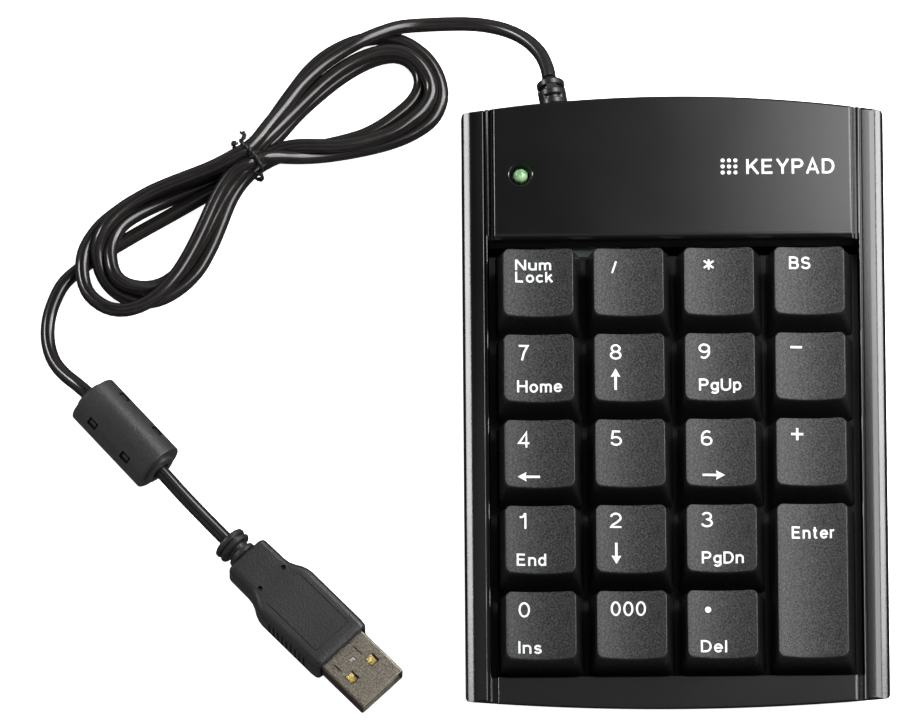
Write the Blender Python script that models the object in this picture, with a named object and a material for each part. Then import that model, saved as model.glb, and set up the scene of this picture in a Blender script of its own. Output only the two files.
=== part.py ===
"""Numeric keypad with its cord, ferrite choke and plug.

Metres, +Z up, +X to the right, +Y to the rear where the cord leaves. The origin is the centre of the case
on the surface that its rubber feet stand on. Pieces of the case are laid out in the deck frame, whose XY
plane is the sloping top surface: there, z is height above that surface.
"""

import math

import bmesh
import bpy
from mathutils import Matrix, Vector

MM = 0.001
GAP = 0.3 * MM                     # clearance that touching pieces keep

# Case
DECK_TILT = math.radians(1.5)      # the top surface rises to the rear
DECK_HEIGHT = 21.0 * MM            # of the middle of the top surface
CASE_HALF_WIDTH = 44.6 * MM
CASE_REAR = 68.0 * MM
CASE_FRONT = -68.8 * MM
REAR_CROWN = 3.5 * MM              # how far the rear edge bulges in the middle
FRONT_CROWN = 2.0 * MM
CORNER_RADIUS = 1.0 * MM
WALL = 2.0 * MM
TOP_COVER_DEPTH = 5.5 * MM
UNDERSIDE = 1.0 * MM               # height of the case floor over the table
FLOOR_THICKNESS = 1.8 * MM
SIDE_DRAFT = 3.6 * MM              # the lower case narrows by this much at its floor
UPPER_LEAN = 0.39                  # slope of the front wall under the top cover's edge
LOWER_LEAN = 0.11                  # what the lower case's front wall leans in over its draft

# Keys
PITCH = 19.05 * MM
KEY_FIELD_Y = -13.7 * MM          # centre of the middle row
KEY_BASE = 18.1 * MM
KEY_SIDE_TAPER = 1.7 * MM
KEY_REAR_TAPER = 1.0 * MM
KEY_FRONT_TAPER = 2.3 * MM
KEY_HEIGHT = 8.5 * MM
KEY_TOP = 4.4 * MM
KEY_SKIN = 1.25 * MM
KEY_TRAVEL = 3.5 * MM
STEM_RADIUS = 2.4 * MM
BORE_RADIUS = 3.0 * MM
TOWER_RADIUS = 4.2 * MM
TOWER_TOP = -1.7 * MM
WELL_HALF_WIDTH = 39.2 * MM
WELL_REAR = 35.85 * MM
WELL_FRONT = -61.3 * MM

# Layers under the keys, as (top, bottom) in the deck frame
DECK_PLATE = (-8.4 * MM, -9.6 * MM)
DOME_BASE = (-13.2 * MM, -13.8 * MM)
MEMBRANE_UPPER = (-14.1 * MM, -14.3 * MM)
MEMBRANE_SPACER = (-14.6 * MM, -14.8 * MM)
MEMBRANE_LOWER = (-15.1 * MM, -15.3 * MM)
BACK_PLATE = (-15.6 * MM, -16.2 * MM)
BOARD = (-15.0 * MM, -16.4 * MM)
STACK_HALF_WIDTH = 38.2 * MM
STACK_REAR = 34.5 * MM
STACK_FRONT = -57.5 * MM

# Screws: two hold the covers together at the rear, three hold the key deck
SCREW_RADIUS = 1.25 * MM
SCREW_HEAD_RADIUS = 2.4 * MM
SCREW_HEAD_HEIGHT = 1.6 * MM
SCREW_RECESS = 2.6 * MM            # from the case floor up to the top of the head
COVER_SCREWS = [(-36 * MM, 56 * MM), (36 * MM, 56 * MM)]
DECK_SCREWS = [(0.0, KEY_FIELD_Y + 1.5 * PITCH)]
DECK_SCREWS += [(side * PITCH, KEY_FIELD_Y - 1.5 * PITCH) for side in (-1, 1)]

LED_PLACE = (-32.1 * MM, 50.5 * MM)
LED_RADIUS = 1.5 * MM
FOOT_PLACE = (30 * MM, 48 * MM)
FOOT_RADIUS = 5.0 * MM
FOOT_THICKNESS = 1.5 * MM

# Cord and the pieces on it, lying on the table
CORD_RADIUS = 1.5 * MM
RELIEF_RADIUS = 3.0 * MM
RELIEF_START = Vector((-24.4, 66.1, 13.25)) * MM
RELIEF_END = Vector((-25.75, 75.6, 12.7)) * MM
FERRITE_CENTRE = Vector((-116.0, -1.0, 5.9)) * MM
FERRITE_AXIS = Vector((0.659, -0.752, 0)).normalized()
FERRITE_LENGTH = 22.8 * MM
FERRITE_RADIUS = 5.75 * MM
PLUG_START = Vector((-93.9, -25.4, 4.2)) * MM
PLUG_AXIS = Vector((0.689, -0.725, 0)).normalized()
BOOT_LENGTH = 5.0 * MM
GRIP_LENGTH = 29.0 * MM
GRIP_WIDTH = 14.8 * MM
GRIP_THICKNESS = 8.0 * MM
SHELL_LENGTH = 12.3 * MM
SHELL_WIDTH = 12.0 * MM
SHELL_THICKNESS = 4.5 * MM

# The hank is a bow tie: one lobe each side of the tie, as (x, y, radius)
HANK_TIE = (-90.5 * MM, 60.9 * MM, 6.0 * MM)
HANK_LEFT = (-113.0 * MM, 40.7 * MM, 15.2 * MM)
HANK_RIGHT = (-62.0 * MM, 76.4 * MM, 15.3 * MM)
HANK_HEIGHT = 7.6 * MM

LEAD_ROUTE = [
    (-25.85, 76.0, 12.6), (-26.3, 78.6, 12.1), (-27.7, 82.2, 11.0), (-30.4, 85.7, 9.4), (-34.0, 88.5, 7.5),
    (-38.4, 90.5, 5.6), (-43.0, 91.6, 4.0), (-48.2, 92.0, 2.7), (-51.9, 92.0, 2.0), (-55.4, 91.8, 1.6),
]
TAIL_ROUTE = [
    (-128.9, 34.6, 1.6), (-131.0, 30.4, 1.6), (-132.2, 26.0, 1.6), (-132.3, 21.4, 1.7), (-131.2, 17.0, 2.3),
    (-129.0, 13.4, 3.6), (-126.2, 10.4, 5.1), (-123.8, 7.9, 5.8), (-119.5, 3.0, 5.9), (-112.5, -5.0, 5.9),
    (-108.2, -9.9, 5.9), (-103.5, -15.3, 5.4), (-98.6, -20.5, 4.6), (-94.6, -24.7, 4.2),
]

KEY_ROWS = [
    ["num_lock", "divide", "multiply", "backspace"],
    ["7", "8", "9", "minus"],
    ["4", "5", "6", "plus"],
    ["1", "2", "3", "enter"],
    ["0", "triple_zero", "decimal"],
]


# ---------------------------------------------------------------- scene, materials and placing

for old in list(bpy.data.objects):
    bpy.data.objects.remove(old, do_unlink=True)

PARTS = bpy.data.collections.new("numeric_keypad")
CUTTERS = bpy.data.collections.new("cutters")
for collection in (PARTS, CUTTERS):
    bpy.context.scene.collection.children.link(collection)


def make_material(name, colour, roughness, metallic=0.0):
    """A Principled material from an RGB colour."""
    material = bpy.data.materials.new(name)
    material.use_nodes = True
    shader = material.node_tree.nodes["Principled BSDF"]
    shader.inputs["Base Color"].default_value = (*colour, 1.0)
    shader.inputs["Roughness"].default_value = roughness
    shader.inputs["Metallic"].default_value = metallic
    return material


CASE_PLASTIC = make_material("case_plastic", (0.012, 0.012, 0.013), 0.28)
KEY_PLASTIC = make_material("key_plastic", (0.03, 0.03, 0.032), 0.5)
INNER_PLASTIC = make_material("inner_plastic", (0.02, 0.02, 0.02), 0.6)
CORD_PVC = make_material("cord_pvc", (0.02, 0.019, 0.019), 0.35)
DOME_RUBBER = make_material("dome_rubber", (0.55, 0.56, 0.57), 0.6)
FOOT_RUBBER = make_material("foot_rubber", (0.02, 0.02, 0.02), 0.8)
FILM = make_material("polyester_film", (0.5, 0.6, 0.6), 0.3)
STEEL = make_material("steel", (0.55, 0.55, 0.55), 0.35, 1.0)
GOLD = make_material("gold_plate", (0.9, 0.65, 0.25), 0.3, 1.0)
BOARD_GREEN = make_material("circuit_board", (0.03, 0.14, 0.06), 0.5)
LED_GREEN = make_material("led_green", (0.2, 0.5, 0.15), 0.15)
FERRITE = make_material("ferrite", (0.05, 0.05, 0.05), 0.7)
WHITE_PLASTIC = make_material("white_plastic", (0.8, 0.8, 0.78), 0.4)

DECK = bpy.data.objects.new("deck_frame", None)
DECK.location = (0.0, 0.0, DECK_HEIGHT)
DECK.rotation_euler = (DECK_TILT, 0.0, 0.0)
PARTS.objects.link(DECK)


def add(name, mesh, material, parent=None, place=(0.0, 0.0, 0.0)):
    """Make a visible piece of the keypad."""
    piece = bpy.data.objects.new(name, mesh)
    piece.location = place
    piece.parent = parent
    if material is not None and not mesh.materials:
        mesh.materials.append(material)
    PARTS.objects.link(piece)
    return piece


def tool(mesh, like):
    """Make a hidden shape that stands where the piece `like` stands."""
    shape = bpy.data.objects.new("tool", mesh)
    shape.parent = like.parent
    shape.location = like.location
    shape.rotation_euler = like.rotation_euler
    shape.hide_render = True
    shape.display_type = "WIRE"
    CUTTERS.objects.link(shape)
    return shape


def combine(piece, mesh, operation):
    """Cut a mesh out of a piece, or weld it on. The mesh is in the piece's own coordinates."""
    modifier = piece.modifiers.new(operation.lower(), "BOOLEAN")
    modifier.operation = operation
    modifier.object = tool(mesh, piece)


def cut(piece, mesh):
    combine(piece, mesh, "DIFFERENCE")


def weld(piece, mesh):
    combine(piece, mesh, "UNION")


def finished_mesh(piece):
    """The mesh of a piece after its modifiers."""
    bpy.context.view_layer.update()
    return bpy.data.meshes.new_from_object(piece.evaluated_get(bpy.context.evaluated_depsgraph_get()))


def drop(piece):
    """Remove a piece that only served to shape others."""
    bpy.data.objects.remove(piece, do_unlink=True)


# ---------------------------------------------------------------- basic shapes

def mesh_from(build):
    """Run a function that fills a bmesh, and return the mesh."""
    shape = bmesh.new()
    build(shape)
    bmesh.ops.recalc_face_normals(shape, faces=shape.faces)
    mesh = bpy.data.meshes.new("shape")
    shape.to_mesh(mesh)
    shape.free()
    return mesh


def add_box(shape, low, high):
    """A box between two corners."""
    low, high = Vector(low), Vector(high)
    size = high - low
    matrix = Matrix.Translation((low + high) / 2) @ Matrix.Diagonal((*size, 1.0))
    return bmesh.ops.create_cube(shape, size=1.0, matrix=matrix)["verts"]


def add_cylinder(shape, centre, low, high, radius, top_radius=None, sides=16):
    """A vertical cylinder or cone between two heights."""
    place = Vector((centre[0], centre[1], (low + high) / 2))
    bmesh.ops.create_cone(
        shape, cap_ends=True, segments=sides, radius1=radius,
        radius2=radius if top_radius is None else top_radius,
        depth=high - low, matrix=Matrix.Translation(place),
    )


def box_mesh(low, high):
    return mesh_from(lambda shape: add_box(shape, low, high))


def cylinders_mesh(centres, low, high, radius, top_radius=None, sides=16):
    """Equal upright cylinders at several places."""
    def build(shape):
        for centre in centres:
            add_cylinder(shape, centre, low, high, radius, top_radius, sides)
    return mesh_from(build)


def outline(inset, steps=12):
    """The case seen from above: straight sides, and front and rear edges that bulge in the middle."""
    half_width = CASE_HALF_WIDTH - inset
    rear, front = CASE_REAR - inset, CASE_FRONT + inset
    points = []
    for step in range(steps + 1):
        x = half_width * (1 - 2 * step / steps)
        points.append((x, rear - REAR_CROWN * (x / half_width) ** 2))
    for step in range(steps + 1):
        x = half_width * (2 * step / steps - 1)
        points.append((x, front + FRONT_CROWN * (x / half_width) ** 2))
    return points


def leaned(x, y, z):
    """A point of the case outline at a height. The front wall leans in under its edge."""
    if y < 0:
        y -= UPPER_LEAN * max(z, -TOP_COVER_DEPTH) + LOWER_LEAN * min(z + TOP_COVER_DEPTH, 0)
    return (x, y, z)


def case_loft(top_inset, top, bottom_inset, bottom):
    """A closed block between the case outline at two heights, which are functions of y."""
    def build(shape):
        rings = []
        for inset, height in ((bottom_inset, bottom), (top_inset, top)):
            rings.append([shape.verts.new(leaned(x, y, height(y))) for x, y in outline(inset)])
        count = len(rings[0])
        for index in range(count):
            after = (index + 1) % count
            shape.faces.new((rings[0][index], rings[0][after], rings[1][after], rings[1][index]))
        shape.faces.new(reversed(rings[0]))
        shape.faces.new(rings[1])
    return mesh_from(build)


def level(height):
    """The deck frame's height of a level plane that is this high over the table."""
    return lambda y: (height - DECK_HEIGHT - y * math.sin(DECK_TILT)) / math.cos(DECK_TILT)


def flat(height):
    """A plane parallel to the deck."""
    return lambda y: height


def soften(mesh, width, segments, chosen):
    """Bevel the edges of a mesh that a test picks."""
    shape = bmesh.new()
    shape.from_mesh(mesh)
    edges = [edge for edge in shape.edges if chosen(edge)]
    bmesh.ops.bevel(shape, geom=edges, offset=width, segments=segments, affect="EDGES", profile=0.5)
    shape.to_mesh(mesh)
    shape.free()
    return mesh


# ---------------------------------------------------------------- case

def floor_under(place):
    """Deck height of the outside of the case floor under a place."""
    return level(UNDERSIDE)(place[1])


def make_top_cover():
    """Bezel, rails, key well and front strip in one shell."""
    top = flat(0.0)
    block = case_loft(0.0, top, 0.0, flat(-TOP_COVER_DEPTH))
    corner = lambda edge: all(
        abs(abs(vert.co.x) - CASE_HALF_WIDTH) < 0.1 * MM and abs(vert.co.y) > 60 * MM
        for vert in edge.verts) and abs(edge.verts[0].co.z - edge.verts[1].co.z) > TOP_COVER_DEPTH / 2
    soften(block, CORNER_RADIUS, 2, corner)
    rim = lambda edge: all(abs(vert.co.z) < 0.01 * MM for vert in edge.verts)
    soften(block, 0.7 * MM, 2, rim)
    cover = add("top_cover", block, CASE_PLASTIC, DECK)
    cut(cover, case_loft(WALL, flat(-WALL), WALL, flat(-TOP_COVER_DEPTH - 1 * MM)))
    ring = 1.2 * MM
    weld(cover, box_mesh((-WELL_HALF_WIDTH - ring, WELL_FRONT - ring, -TOP_COVER_DEPTH),
                         (WELL_HALF_WIDTH + ring, WELL_REAR + ring, -1.0 * MM)))
    weld(cover, cylinders_mesh(COVER_SCREWS, -9.0 * MM, -1.0 * MM, 3.0 * MM))
    cut(cover, box_mesh((-WELL_HALF_WIDTH, WELL_FRONT, -20 * MM), (WELL_HALF_WIDTH, WELL_REAR, 5 * MM)))
    cut(cover, cylinders_mesh(COVER_SCREWS, -10 * MM, -3.6 * MM, SCREW_RADIUS + 0.35 * MM, sides=12))
    cut(cover, cylinders_mesh([LED_PLACE], -6 * MM, 1 * MM, LED_RADIUS + 0.35 * MM))
    cut(cover, cylinders_mesh([LED_PLACE], -0.5 * MM, 1 * MM, LED_RADIUS + 0.5 * MM, LED_RADIUS + 2.2 * MM))
    groove_inner, groove_outer, depth = 39.7 * MM, 40.1 * MM, 0.5 * MM

    def grooves(shape):
        for side in (-1, 1):
            across = sorted((side * groove_inner, side * groove_outer))
            add_box(shape, (across[0], -80 * MM, -depth), (across[1], 80 * MM, 2 * MM))
    cut(cover, mesh_from(grooves))


def boss_top(place):
    """Deck height of the lower case's boss at a screw."""
    return -9.3 * MM if place in COVER_SCREWS else BACK_PLATE[1] - GAP


def make_bottom_cover():
    """Tray with drafted walls, bosses, board posts, foot recesses and the strain relief's hole."""
    rim = -TOP_COVER_DEPTH - GAP
    tray = add("bottom_cover", case_loft(0.4 * MM, flat(rim), 0.4 * MM + SIDE_DRAFT, level(UNDERSIDE)),
               CASE_PLASTIC, DECK)
    floor_top = level(UNDERSIDE + FLOOR_THICKNESS)
    cut(tray, case_loft(2.15 * MM, flat(rim + 1 * MM), SIDE_DRAFT + 1.9 * MM, floor_top))
    for place in COVER_SCREWS + DECK_SCREWS:
        floor = floor_under(place)
        weld(tray, cylinders_mesh([place], floor + 1 * MM, boss_top(place), 3.6 * MM))
        recess = SCREW_RECESS + GAP
        cut(tray, cylinders_mesh([place], floor - 2 * MM, floor + recess, SCREW_HEAD_RADIUS + 0.4 * MM))
        bore = SCREW_RADIUS + 0.35 * MM
        cut(tray, cylinders_mesh([place], floor, boss_top(place) + 1 * MM, bore, sides=12))
    for place in ((-28 * MM, 45.4 * MM), (-10 * MM, 45.4 * MM)):
        weld(tray, cylinders_mesh([place], floor_under(place) + 1 * MM, BOARD[1] - GAP, 2.0 * MM, sides=12))
    to_deck = DECK_MATRIX.inverted()
    for side_x in (-1, 1):
        for side_y in (-1, 1):
            recess = cylinders_mesh([(side_x * FOOT_PLACE[0], side_y * FOOT_PLACE[1])], -1 * MM,
                                    FOOT_THICKNESS + GAP, FOOT_RADIUS + 0.4 * MM)
            recess.transform(to_deck)
            cut(tray, recess)
    hole = rod_mesh(RELIEF_START - RELIEF_AXIS * 8 * MM, RELIEF_END, RELIEF_RADIUS * 0.75 + GAP)
    hole.transform(to_deck)
    cut(tray, hole)


def make_feet():
    """Four rubber feet, whose undersides are the plane that the keypad stands on."""
    for name_y, side_y in (("front", -1), ("rear", 1)):
        for name_x, side_x in (("left", -1), ("right", 1)):
            pad = cylinders_mesh([(0, 0)], 0, FOOT_THICKNESS, FOOT_RADIUS, sides=20)
            place = (side_x * FOOT_PLACE[0], side_y * FOOT_PLACE[1], 0)
            add(f"rubber_foot_{name_y}_{name_x}", pad, FOOT_RUBBER, place=place)


def make_screws():
    """Pan-head screws, driven from below."""
    for number, place in enumerate(COVER_SCREWS + DECK_SCREWS, start=1):
        head_top = floor_under(place) + SCREW_RECESS
        tip = -4.2 * MM if place in COVER_SCREWS else DECK_PLATE[1] - 1.0 * MM
        head = cylinders_mesh([(0, 0)], -SCREW_HEAD_HEIGHT, 0, SCREW_HEAD_RADIUS)
        screw = add(f"case_screw_{number}", head, STEEL, DECK, (*place, head_top))
        weld(screw, cylinders_mesh([(0, 0)], -0.5 * MM, tip - head_top, SCREW_RADIUS, sides=12))
        slot = 0.35 * MM
        cut(screw, box_mesh((-2 * MM, -slot, -2 * MM), (2 * MM, slot, -SCREW_HEAD_HEIGHT + 0.7 * MM)))
        cut(screw, box_mesh((-slot, -2 * MM, -2 * MM), (slot, 2 * MM, -SCREW_HEAD_HEIGHT + 0.7 * MM)))


# ---------------------------------------------------------------- keys

def key_centre(row, column):
    """Centre of a key in the deck frame. The double-height Enter key takes two rows."""
    x = (column - 1.5) * PITCH
    y = KEY_FIELD_Y + (2 - row) * PITCH
    if KEY_ROWS[row][column] == "enter":
        y -= PITCH / 2
    return x, y


KEYS = {name: key_centre(row, column)
        for row, names in enumerate(KEY_ROWS) for column, name in enumerate(names)}

# Enter's stabiliser wire turns about a bar along Y, and its two arms lift with the key
WIRE_RADIUS = 0.5 * MM
WIRE_PIVOT = Vector((KEYS["enter"][0] + 5.2 * MM, KEYS["enter"][1], -4.6 * MM))
WIRE_ARM = 9.0 * MM
WIRE_REST = math.asin(KEY_TRAVEL / 2 / WIRE_ARM)
WIRE_REACH = 11.6 * MM             # of each arm along Y from the key's middle
WIRE_PIN = 2.4 * MM


def taper(verts, middle, side, rear, front):
    """Draw the upper vertices of a block inwards."""
    for vert in verts:
        if vert.co.z > middle:
            vert.co.x -= math.copysign(side, vert.co.x)
            vert.co.y -= rear if vert.co.y > 0 else -front


def keycap_mesh(depth, with_clips):
    """A hollow keycap about its own base centre, with the stem that pushes the dome."""
    half_x, half_y = KEY_BASE / 2, depth / 2
    block = mesh_from(lambda shape: taper(
        add_box(shape, (-half_x, -half_y, 0), (half_x, half_y, KEY_HEIGHT)),
        KEY_HEIGHT / 2, KEY_SIDE_TAPER, KEY_REAR_TAPER, KEY_FRONT_TAPER))
    soften(block, 1.1 * MM, 2, lambda edge: max(vert.co.z for vert in edge.verts) > KEY_HEIGHT / 2)
    pattern = add("pattern", block, KEY_PLASTIC)
    ceiling = KEY_HEIGHT - KEY_SKIN
    cut(pattern, mesh_from(lambda shape: taper(
        add_box(shape, (-half_x + KEY_SKIN, -half_y + KEY_SKIN, -1 * MM),
                (half_x - KEY_SKIN, half_y - KEY_SKIN, ceiling)),
        ceiling / 2, KEY_SIDE_TAPER, KEY_REAR_TAPER, KEY_FRONT_TAPER)))
    base = KEY_TOP - KEY_HEIGHT
    stem_foot = DECK_PLATE[1] + GAP - base
    weld(pattern, cylinders_mesh([(0, 0)], stem_foot, ceiling + 0.4 * MM, STEM_RADIUS, sides=12))
    if with_clips:
        pin_x = WIRE_PIVOT.x - KEYS["enter"][0] - WIRE_ARM * math.cos(WIRE_REST)
        pin_z = WIRE_PIVOT.z + KEY_TRAVEL / 2 - base
        for side in (-1, 1):
            reach = sorted((side * (WIRE_REACH + 0.9 * MM), side * (WIRE_REACH + 2.0 * MM)))
            weld(pattern, box_mesh((pin_x - 2.2 * MM, reach[0], pin_z - 1.7 * MM),
                                   (pin_x + 2.2 * MM, reach[1], ceiling + 0.4 * MM)))
            cut(pattern, box_mesh((pin_x - 1.3 * MM, reach[0] - 1 * MM, pin_z - WIRE_RADIUS - 0.4 * MM),
                                  (pin_x + 1.3 * MM, reach[1] + 1 * MM, pin_z + WIRE_RADIUS + 0.4 * MM)))
    mesh = finished_mesh(pattern)
    drop(pattern)
    return mesh


def make_keys():
    """Nineteen keycaps. Their origins lie on their slides."""
    single = keycap_mesh(KEY_BASE, with_clips=False)
    double = keycap_mesh(KEY_BASE + PITCH, with_clips=True)
    for name, (x, y) in KEYS.items():
        mesh = double if name == "enter" else single
        add(f"key_{name}", mesh, KEY_PLASTIC, DECK, (x, y, KEY_TOP - KEY_HEIGHT))


def make_key_deck():
    """Plate with a guide tower for each stem, three screw bosses and the stabiliser's two bearings."""
    half, front, rear = 38.9 * MM, -61.0 * MM, 34.85 * MM
    sheet = box_mesh((-half, front, DECK_PLATE[1]), (half, rear, DECK_PLATE[0]))
    plate = add("key_deck", sheet, INNER_PLASTIC, DECK)
    rim, rim_foot = 1.2 * MM, DOME_BASE[0] + GAP

    def rails(shape):
        for side in (-1, 1):
            across = sorted((side * half, side * (half - rim)))
            low = (across[0], front + 2 * MM, rim_foot)
            add_box(shape, low, (across[1], rear, DECK_PLATE[0] - 0.5 * MM))
    weld(plate, mesh_from(rails))
    weld(plate, cylinders_mesh(KEYS.values(), DECK_PLATE[1] + 0.3 * MM, TOWER_TOP, TOWER_RADIUS, sides=12))
    boss = (BACK_PLATE[0] + GAP, DECK_PLATE[0] - 0.4 * MM)
    weld(plate, cylinders_mesh(DECK_SCREWS, *boss, 2.4 * MM, sides=12))
    bearings = [WIRE_PIVOT + Vector((0, side * 7.5 * MM, 0)) for side in (-1, 1)]
    for spot in bearings:
        weld(plate, box_mesh((spot.x - 1.5 * MM, spot.y - 0.8 * MM, DECK_PLATE[1] + 0.3 * MM),
                             (spot.x + 1.2 * MM, spot.y + 0.8 * MM, spot.z + 1.6 * MM)))
    cut(plate, cylinders_mesh(KEYS.values(), -20 * MM, 0.0, BORE_RADIUS, sides=12))
    cut(plate, cylinders_mesh(DECK_SCREWS, -20 * MM, -10.0 * MM, SCREW_RADIUS + 0.35 * MM, sides=12))
    for spot in bearings:
        across = Vector((0, 2 * MM, 0))
        cut(plate, rod_mesh(spot - across, spot + across, WIRE_RADIUS + 0.35 * MM, sides=12))


def make_stabiliser():
    """The steel wire that keeps both ends of the Enter key level."""
    arm = Vector((-WIRE_ARM * math.cos(WIRE_REST), 0, WIRE_ARM * math.sin(WIRE_REST)))
    reach = Vector((0, WIRE_REACH, 0))
    pin = Vector((0, WIRE_PIN, 0))
    points = [arm - reach - pin, arm - reach, -reach, reach, arm + reach, arm + reach + pin]
    curve = curve_through(points, WIRE_RADIUS, resolution=1)
    add("enter_stabilizer_wire", curve, STEEL, DECK, WIRE_PIVOT)


# ---------------------------------------------------------------- electronics

def sheet_mesh(layer, hole_radius, tail=0.0):
    """A rectangular layer under the keys, with a hole at each deck screw and an optional connector tail."""
    top, bottom = layer
    low, high = (-STACK_HALF_WIDTH, STACK_FRONT, bottom), (STACK_HALF_WIDTH, STACK_REAR, top)
    piece = add("pattern", box_mesh(low, high), None)
    if tail:
        weld(piece, box_mesh((-27 * MM, STACK_REAR - 1 * MM, bottom), (-11 * MM, STACK_REAR + tail, top)))
    cut(piece, cylinders_mesh(DECK_SCREWS, -20 * MM, 0, hole_radius, sides=12))
    mesh = finished_mesh(piece)
    drop(piece)
    return mesh


def make_switch_layers():
    """Rubber domes over a three-layer membrane over a steel plate."""
    hole = 2.8 * MM
    domes = add("dome_sheet", sheet_mesh(DOME_BASE, hole), DOME_RUBBER, DECK)
    tip = DECK_PLATE[1]
    centres = list(KEYS.values())
    weld(domes, cylinders_mesh(centres, DOME_BASE[0] - 0.3 * MM, tip, 4.2 * MM, 2.0 * MM, sides=12))
    hollow = (DOME_BASE[1] - 0.5 * MM, tip - 0.8 * MM)
    cut(domes, cylinders_mesh(centres, *hollow, 3.7 * MM, 1.3 * MM, sides=12))
    add("membrane_upper", sheet_mesh(MEMBRANE_UPPER, hole, tail=8 * MM), FILM, DECK)
    spacer = add("membrane_spacer", sheet_mesh(MEMBRANE_SPACER, hole), FILM, DECK)
    cut(spacer, cylinders_mesh(centres, -20 * MM, 0, 2.5 * MM, sides=8))
    add("membrane_lower", sheet_mesh(MEMBRANE_LOWER, hole), FILM, DECK)
    add("back_plate", sheet_mesh(BACK_PLATE, SCREW_RADIUS + 0.4 * MM), STEEL, DECK)


def make_controller():
    """Board, chip, and the bar that presses the membrane's tail on the board."""
    left, right, front, rear = -35.0 * MM, -4.0 * MM, 38.0 * MM, 52.4 * MM
    add("controller_board", box_mesh((left, front, BOARD[1]), (right, rear, BOARD[0])), BOARD_GREEN, DECK)
    chip = BOARD[0] + GAP
    add("controller_chip", box_mesh((-20 * MM, 46 * MM, chip), (-11 * MM, 51.5 * MM, chip + 1.6 * MM)),
        INNER_PLASTIC, DECK)
    bar = MEMBRANE_UPPER[0] + GAP
    strip = box_mesh((-29 * MM, 39 * MM, bar), (-9 * MM, 42.4 * MM, bar + 2 * MM))
    add("membrane_clamp_bar", strip, STEEL, DECK)


def make_led():
    """Three-millimetre lamp with a flange and two long leads down to the board."""
    lens = add("indicator_led", cylinders_mesh([(0, 0)], -4.6 * MM, -0.6 * MM, LED_RADIUS), LED_GREEN, DECK,
               (*LED_PLACE, 0))
    weld(lens, cylinders_mesh([(0, 0)], -0.7 * MM, 0.1 * MM, LED_RADIUS, LED_RADIUS * 0.55))
    weld(lens, cylinders_mesh([(0, 0)], -4.8 * MM, -3.9 * MM, LED_RADIUS + 0.35 * MM))
    for side in (-1, 1):
        x = side * 0.9 * MM
        lead = 0.25 * MM
        weld(lens, box_mesh((x - lead, -lead, BOARD[0] + GAP), (x + lead, lead, -4.5 * MM)))


# ---------------------------------------------------------------- cord, ferrite and plug

def turned_to(axis):
    """A rotation that takes +Z to an axis and keeps +X level."""
    across = Vector((0, 0, 1)).cross(axis).normalized()
    return Matrix((across, axis.cross(across), axis)).transposed().to_4x4()


def rod_mesh(start, end, radius, sides=16):
    """A cylinder between two points."""
    axis = end - start
    def build(shape):
        matrix = Matrix.Translation((start + end) / 2) @ turned_to(axis.normalized())
        bmesh.ops.create_cone(shape, cap_ends=True, segments=sides, radius1=radius, radius2=radius,
                              depth=axis.length, matrix=matrix)
    return mesh_from(build)


def curve_through(points, radius, resolution=2):
    """A round tube along straight pieces between points, with closed ends."""
    curve = bpy.data.curves.new("tube", "CURVE")
    curve.dimensions = "3D"
    curve.bevel_depth = radius
    curve.bevel_resolution = resolution
    curve.use_fill_caps = True
    spline = curve.splines.new("POLY")
    spline.points.add(len(points) - 1)
    for spot, point in zip(spline.points, points):
        spot.co = (*point, 1.0)
    return curve


def in_metres(route):
    return [Vector(point) * MM for point in route]


def make_cord():
    """The stretches that aren't wound up: strain relief to hank, and hank to plug."""
    add("cord_lead", curve_through(in_metres(LEAD_ROUTE), CORD_RADIUS), CORD_PVC)
    add("cord_tail", curve_through(in_metres(TAIL_ROUTE), CORD_RADIUS), CORD_PVC)


def lobe_mesh(tie, lobe, steps=18):
    """A flat teardrop: two circles and the tangents between them, extruded upwards."""
    start, end = Vector(tie[:2]), Vector(lobe[:2])
    along = end - start
    heading = math.atan2(along.y, along.x)
    spread = math.acos((tie[2] - lobe[2]) / along.length)
    points = []
    for centre, radius, begin, finish in ((end, lobe[2], -spread, spread),
                                          (start, tie[2], spread, 2 * math.pi - spread)):
        for step in range(steps + 1):
            angle = heading + begin + (finish - begin) * step / steps
            points.append(centre + radius * Vector((math.cos(angle), math.sin(angle))))

    def build(shape):
        face = shape.faces.new([shape.verts.new((*point, 0.1 * MM)) for point in points])
        raised = bmesh.ops.extrude_face_region(shape, geom=[face])["geom"]
        lift = Vector((0, 0, HANK_HEIGHT - 0.1 * MM))
        upper = [item for item in raised if isinstance(item, bmesh.types.BMVert)]
        bmesh.ops.translate(shape, vec=lift, verts=upper)
    return mesh_from(build)


def make_hank():
    """The wound-up cord as one solid, and the wire tie over its waist."""
    hank = add("cord_hank", lobe_mesh(HANK_TIE, HANK_LEFT), CORD_PVC)
    weld(hank, lobe_mesh(HANK_TIE, HANK_RIGHT))
    heading = Vector((HANK_RIGHT[0] - HANK_LEFT[0], HANK_RIGHT[1] - HANK_LEFT[1], 0)).normalized()
    across = Vector((-heading.y, heading.x, 0))
    waist = Vector((HANK_TIE[0], HANK_TIE[1], 0))
    reach, top, radius = HANK_TIE[2] + 1.5 * MM, HANK_HEIGHT + 0.8 * MM, 0.45 * MM
    points = [waist + across * reach * side + Vector((0, 0, height))
              for side, height in ((-1, 0.6 * MM), (-1, top - 1 * MM), (-0.85, top), (0.85, top),
                                   (1, top - 1 * MM), (1, 2 * MM), (1.5, 1 * MM), (2.1, 0.8 * MM))]
    add("twist_tie", curve_through(points, radius, resolution=1), CORD_PVC)


RELIEF_AXIS = (RELIEF_END - RELIEF_START).normalized()
DECK_MATRIX = Matrix.Translation((0, 0, DECK_HEIGHT)) @ Matrix.Rotation(DECK_TILT, 4, "X")


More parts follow.
